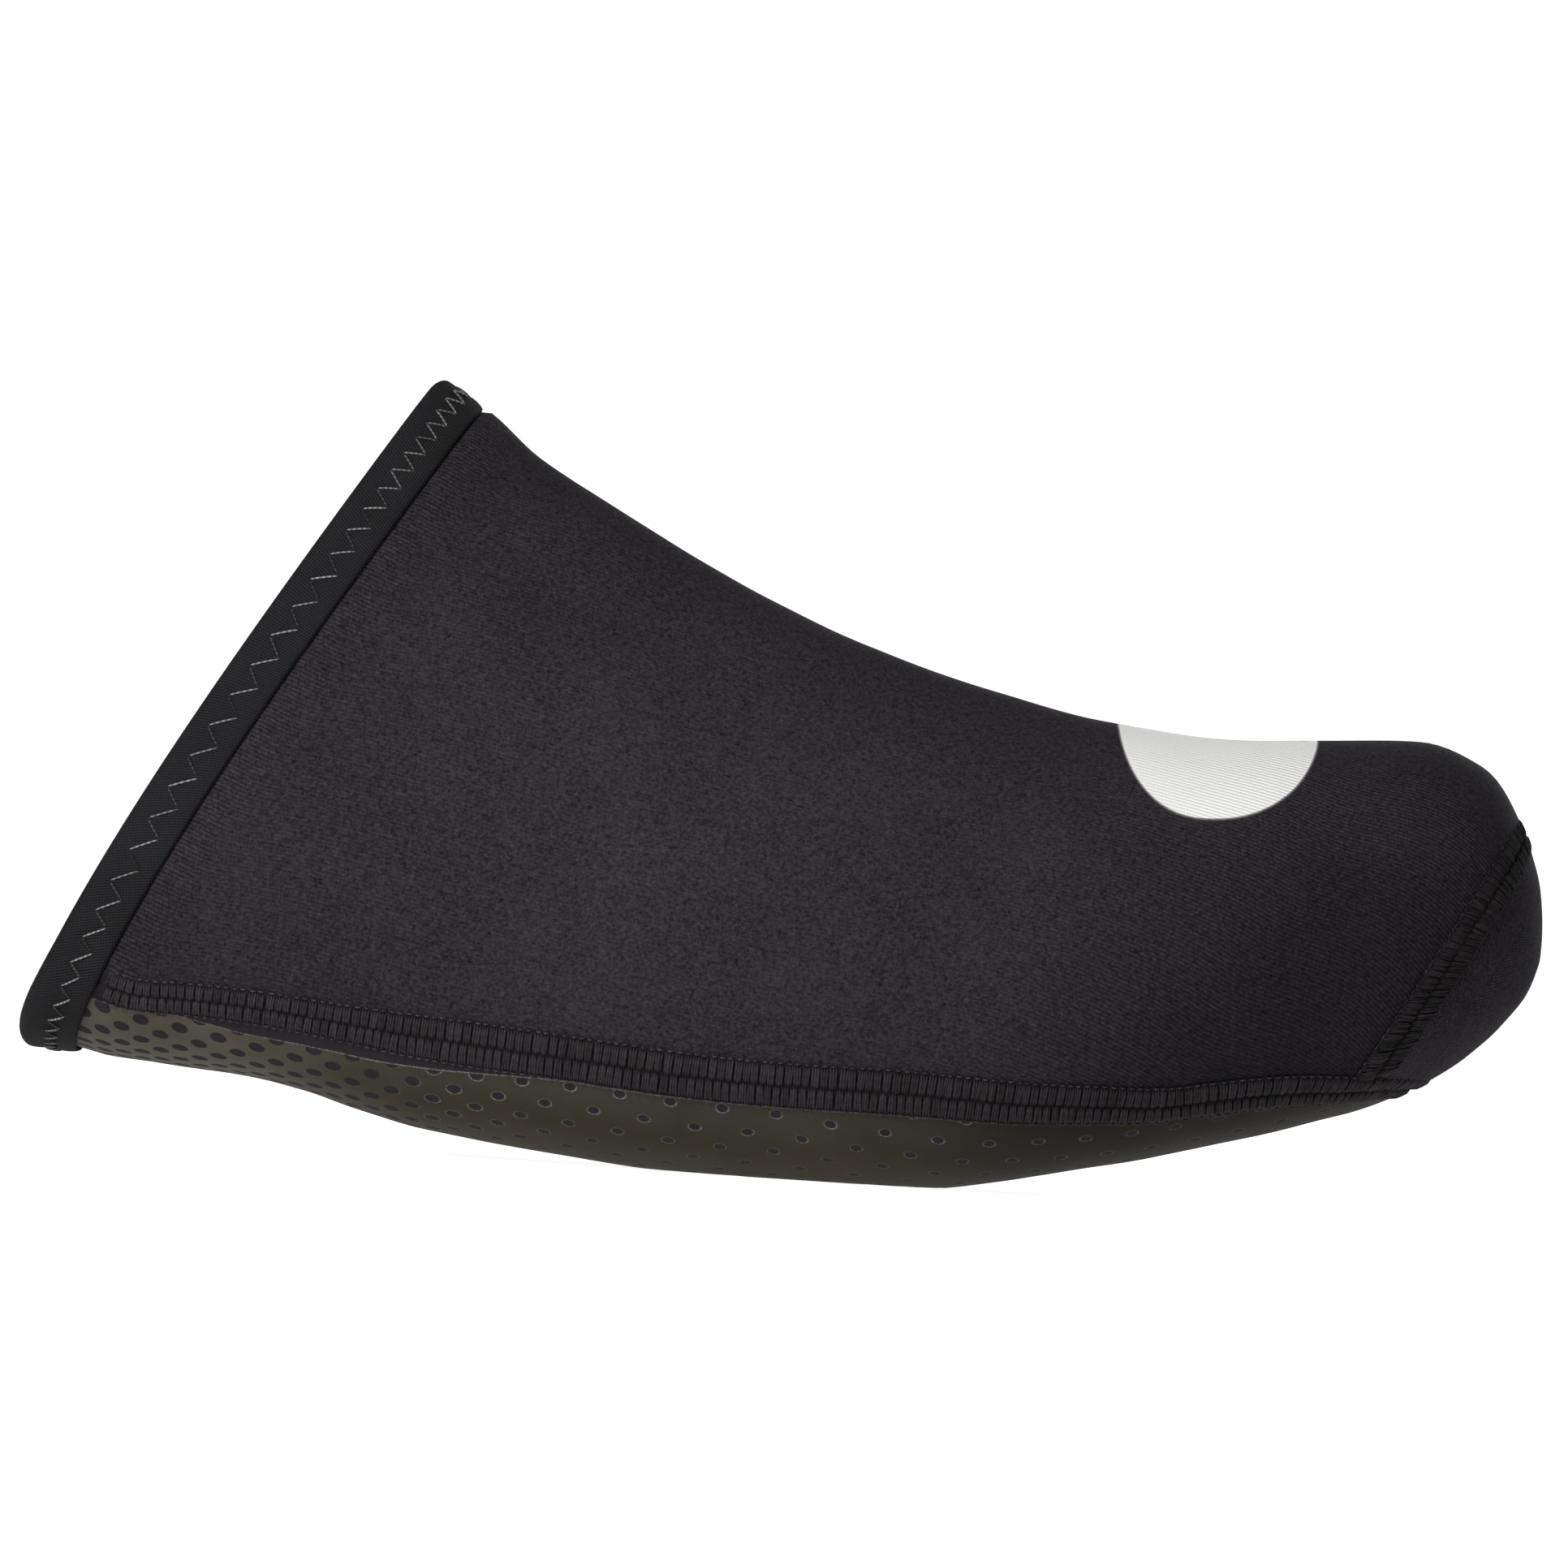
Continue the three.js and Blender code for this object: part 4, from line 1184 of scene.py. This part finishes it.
class TOECOVER_OT_seams(bpy.types.Operator):
    """Makes the two flat seams from rows of thread"""

    bl_idname = "toe_cover.seams"
    bl_label = "Make the seams"

    def execute(self, context):
        settings = context.scene.toe_cover_stitch
        sole_path = SeamPath(BINDING_WIDTH + CLEARANCE)
        self.sew(sole_path, sole_path.width, "sole_seam", settings, scale=1, seed=5, wild=1.0,
                 contrast=0.8)
        end = float(UPPER_EDGE(np.array(SKIN.toe_seam))) - TOE_SEAM_END
        toe_path = SectionPath(SKIN.toe_seam, -end, end, SEAM_SINK)
        self.sew(toe_path, toe_seam_spread, "toe_seam", settings, scale=0.8, seed=8, wild=2.6,
                 contrast=1.3)
        return {"FINISHED"}

    def sew(self, path, width_at, node, settings, scale, seed, wild, contrast):
        """Sews one seam with threads of a scale. The wilder it is, the less even its threads lie."""
        seam_bed(path, width_at, node)
        strands = flat_seam_strands(path.length, width_at, settings.bundle_pitch * scale, seed, wild)
        bm = lay_strands(strands, 6, 3, settings.strand * scale, 0.30 * MM * scale**2, path)
        colour = [part * scale for part in settings.seam]
        material = thread_material(node + "_thread", colour, 1.12 - contrast / 2, contrast, 2.6, 0.12)
        make_piece(bm, node + "_threads", [], [material])


# The middle line of the tape's zigzag and its two edges, as stations, and its edges near the keel
STITCH_LINE = 3.6 * MM
STITCH_EDGES = (2.5 * MM, 5.2 * MM)
STITCH_EDGES_BY_KEEL = (3.2 * MM, 5.0 * MM)

# The shares to which the zigzag's cycle shortens near the ridge and near the keel
CYCLE_BY_RIDGE = 0.56
CYCLE_BY_KEEL = 0.68


class TOECOVER_OT_collar_binding(bpy.types.Operator):
    """Makes the folded tape round the collar and its zigzag stitches"""

    bl_idname = "toe_cover.collar_binding"
    bl_label = "Make the collar binding"

    def execute(self, context):
        settings = context.scene.toe_cover_stitch
        profile = tape_profile()
        path = SectionPath(STITCH_LINE, 0, 4)
        along = np.linspace(0, path.length, TAPE_ROWS + 1)[:, None]
        around = np.interp(along, path.distance, path.around)
        station = profile[None, :, 0] + 0 * around
        lift = profile[None, :, 1] + 0 * around
        points = SKIN.lifted(station, around + 0 * station, lift)
        along = np.minimum(along, path.length - along) + 0 * station
        bm = laid_grid(points, tape=np.stack([along, station, lift], axis=-1))
        bmesh.ops.recalc_face_normals(bm, faces=bm.faces)
        material = tape_material(context.scene.toe_cover_cloth)
        make_piece(bm, "collar_tape", ["collar_binding"], [material])
        self.stitch(path, settings)
        return {"FINISHED"}

    def stitch(self, path, settings):
        """A zigzag on the tape's outer face, closer together near the ridge and near the keel."""
        chance = random.Random(3)
        outer_lift = CLEARANCE + BINDING_WALL - 0.15 * MM
        places = [0.0]
        while places[-1] < path.length / 2:
            off_ridge = mix(CYCLE_BY_RIDGE, 1, smooth_share(places[-1], 5 * MM, 50 * MM))
            by_keel = mix(1, CYCLE_BY_KEEL, smooth_share(places[-1], 80 * MM, 102 * MM))
            places.append(places[-1] + settings.zigzag_cycle / 2 * off_ridge * by_keel)
        places = np.array(places) * path.length / 2 / places[-1]
        places = np.concatenate([places, path.length - places[-2::-1]])
        strands = []
        for i, (here, there) in enumerate(zip(places[:-1], places[1:])):
            down = min(here, path.length - here)
            narrow = smooth_share(down, 82 * MM, 104 * MM)
            left, right = (mix(wide, slim, narrow) + chance.uniform(-0.1, 0.1) * MM - path.station
                           for wide, slim in zip(STITCH_EDGES, STITCH_EDGES_BY_KEEL))
            bright = (i % 2 == 0) == (here >= path.length / 2)
            start, end = (right, left) if i % 2 else (left, right)
            shade = chance.uniform(0.5, 0.9) if bright else chance.uniform(0.0, 0.12)
            if down < 24 * MM:
                shade = chance.uniform(0.15, 0.55)
            strands.append(((here, start), (there, end), outer_lift, 1, shade))
        bm = lay_strands(strands, 6, 5, settings.zigzag_thread, 0.19 * MM, path)
        material = thread_material("zigzag_thread", settings.zigzag, 0.1, 1.9, 5.0, 0.45)
        make_piece(bm, "collar_zigzag", [], [material])


# The stage: what the camera sees, its lens, its roll, the lights' places and the floor
FRAME_WIDTH = 207.85 * MM
LENS = 300.0
SENSOR = 36.0
CAMERA_ROLL = math.radians(3.8)
CAMERA_AIM = Vector((-1.6 * MM, 0, 52.0 * MM))
KEY_PLACE = Vector((-0.20, -0.36, 0.22))
KEY_SIZE = 0.16
FILL_PLACE = Vector((0.22, 0.46, 0.26))
FILL_SIZE = 0.3
LIGHT_AIM = Vector((-0.01, -0.02, 0.045))
FLOOR_REACH = 4.6
FLOOR_CURVE = 1.2


class TOECOVER_OT_stage(bpy.types.Operator):
    """Makes the pale floor, the soft light and the camera"""

    bl_idname = "toe_cover.stage"
    bl_label = "Make the stage"

    def execute(self, context):
        settings = context.scene.toe_cover_stage
        self.floor(settings)
        self.light(settings)
        self.camera()
        context.scene.view_settings.view_transform = "Standard"
        return {"FINISHED"}

    def floor(self, settings):
        """A round floor that curves up into a low wall far away."""
        bm = bmesh.new()
        first = bm.verts.new((0, 0, 0))
        second = bm.verts.new((FLOOR_REACH, 0, 0))
        line = [bm.edges.new((first, second))]
        bmesh.ops.subdivide_edges(bm, edges=line, cuts=6)
        outermost = max(bm.verts, key=lambda vert: vert.co.x)
        bmesh.ops.spin(bm, geom=[outermost], cent=(FLOOR_REACH, 0, FLOOR_CURVE), axis=(0, 1, 0),
                       angle=-math.pi / 2, steps=10)
        bmesh.ops.spin(bm, geom=bm.verts[:] + bm.edges[:], cent=(0, 0, 0), axis=(0, 0, 1),
                       angle=2 * math.pi, steps=64, use_merge=True)
        bmesh.ops.remove_doubles(bm, verts=bm.verts, dist=1e-4)
        bmesh.ops.recalc_face_normals(bm, faces=bm.faces)
        mesh = bpy.data.meshes.new("floor")
        bm.to_mesh(mesh)
        bm.free()
        mesh.shade_smooth()
        shader = Shader("pale_floor")
        x, y, _ = shader.split(shader.place())
        far = (x * x + y * y).ease(0.8, 4.0)
        back = y.ease(-0.2, 1.0, settings.front_glow, settings.backdrop_glow)
        glow = settings.floor_glow + far * (back - settings.floor_glow)
        shader.set(Base_Color=(*settings.floor, 1), Roughness=0.9, Specular_IOR_Level=0.0,
                   Emission_Color=shader.join(glow, glow, glow), Emission_Strength=1.0)
        mesh.materials.append(shader.material)
        floor = bpy.data.objects.new("floor", mesh)
        bpy.context.scene.collection.objects.link(floor)

    def light(self, settings):
        world = bpy.data.worlds.new("studio")
        world.use_nodes = True
        world.node_tree.nodes["Background"].inputs["Color"].default_value = (1, 1, 1, 1)
        world.node_tree.nodes["Background"].inputs["Strength"].default_value = settings.sky
        bpy.context.scene.world = world
        self.lamp("key", settings.key, KEY_SIZE, KEY_PLACE)
        self.lamp("fill", settings.fill, FILL_SIZE, FILL_PLACE)

    def lamp(self, name, power, size, place):
        """A soft square light that looks at the cover."""
        lamp = bpy.data.lights.new(name, "AREA")
        lamp.energy = power
        lamp.size = size
        light = bpy.data.objects.new(name, lamp)
        light.location = place
        light.rotation_euler = (LIGHT_AIM - place).to_track_quat("-Z", "Y").to_euler()
        bpy.context.scene.collection.objects.link(light)

    def camera(self):
        lens = bpy.data.cameras.new("camera")
        lens.lens = LENS
        lens.sensor_width = SENSOR
        lens.clip_start = 0.1
        lens.clip_end = 20
        camera = bpy.data.objects.new("camera", lens)
        away = FRAME_WIDTH * LENS / SENSOR
        c, s = math.cos(CAMERA_ROLL), math.sin(CAMERA_ROLL)
        turn = Matrix(((c, -s, 0, 0), (0, 0, -1, 0), (s, c, 0, 0), (0, 0, 0, 1)))
        camera.matrix_world = Matrix.Translation(CAMERA_AIM - Vector((0, away, 0))) @ turn
        bpy.context.scene.collection.objects.link(camera)
        bpy.context.scene.camera = camera


class TOECOVER_PT_pieces(bpy.types.Panel):
    """Lists the pieces, their settings and the stage"""

    bl_label = "Toe cover"
    bl_idname = "TOECOVER_PT_pieces"
    bl_space_type = "VIEW_3D"
    bl_region_type = "UI"
    bl_category = "Toe cover"

    def draw(self, context):
        for operator in OPERATORS:
            self.layout.operator(operator.bl_idname)
        for group in SETTINGS:
            box = self.layout.box()
            for name in SETTINGS[group].__annotations__:
                box.prop(getattr(context.scene, group), name)


SETTINGS = {
    "toe_cover_cloth": ClothSettings,
    "toe_cover_sole": SoleSettings,
    "toe_cover_stitch": StitchSettings,
    "toe_cover_stage": StageSettings,
}
OPERATORS = (
    TOECOVER_OT_stage,
    TOECOVER_OT_upper,
    TOECOVER_OT_toe_bumper,
    TOECOVER_OT_sole,
    TOECOVER_OT_collar_binding,
    TOECOVER_OT_seams,
)


def register():
    for group, kind in SETTINGS.items():
        bpy.utils.register_class(kind)
        setattr(bpy.types.Scene, group, bpy.props.PointerProperty(type=kind))
    for kind in (*OPERATORS, TOECOVER_PT_pieces):
        bpy.utils.register_class(kind)


def unregister():
    for kind in (TOECOVER_PT_pieces, *reversed(OPERATORS)):
        bpy.utils.unregister_class(kind)
    for group, kind in SETTINGS.items():
        delattr(bpy.types.Scene, group)
        bpy.utils.unregister_class(kind)


def main():
    register()
    bpy.ops.toe_cover.stage()
    bpy.ops.toe_cover.upper()
    bpy.ops.toe_cover.toe_bumper()
    bpy.ops.toe_cover.sole()
    bpy.ops.toe_cover.collar_binding()
    bpy.ops.toe_cover.seams()


if __name__ == "__main__":
    main()
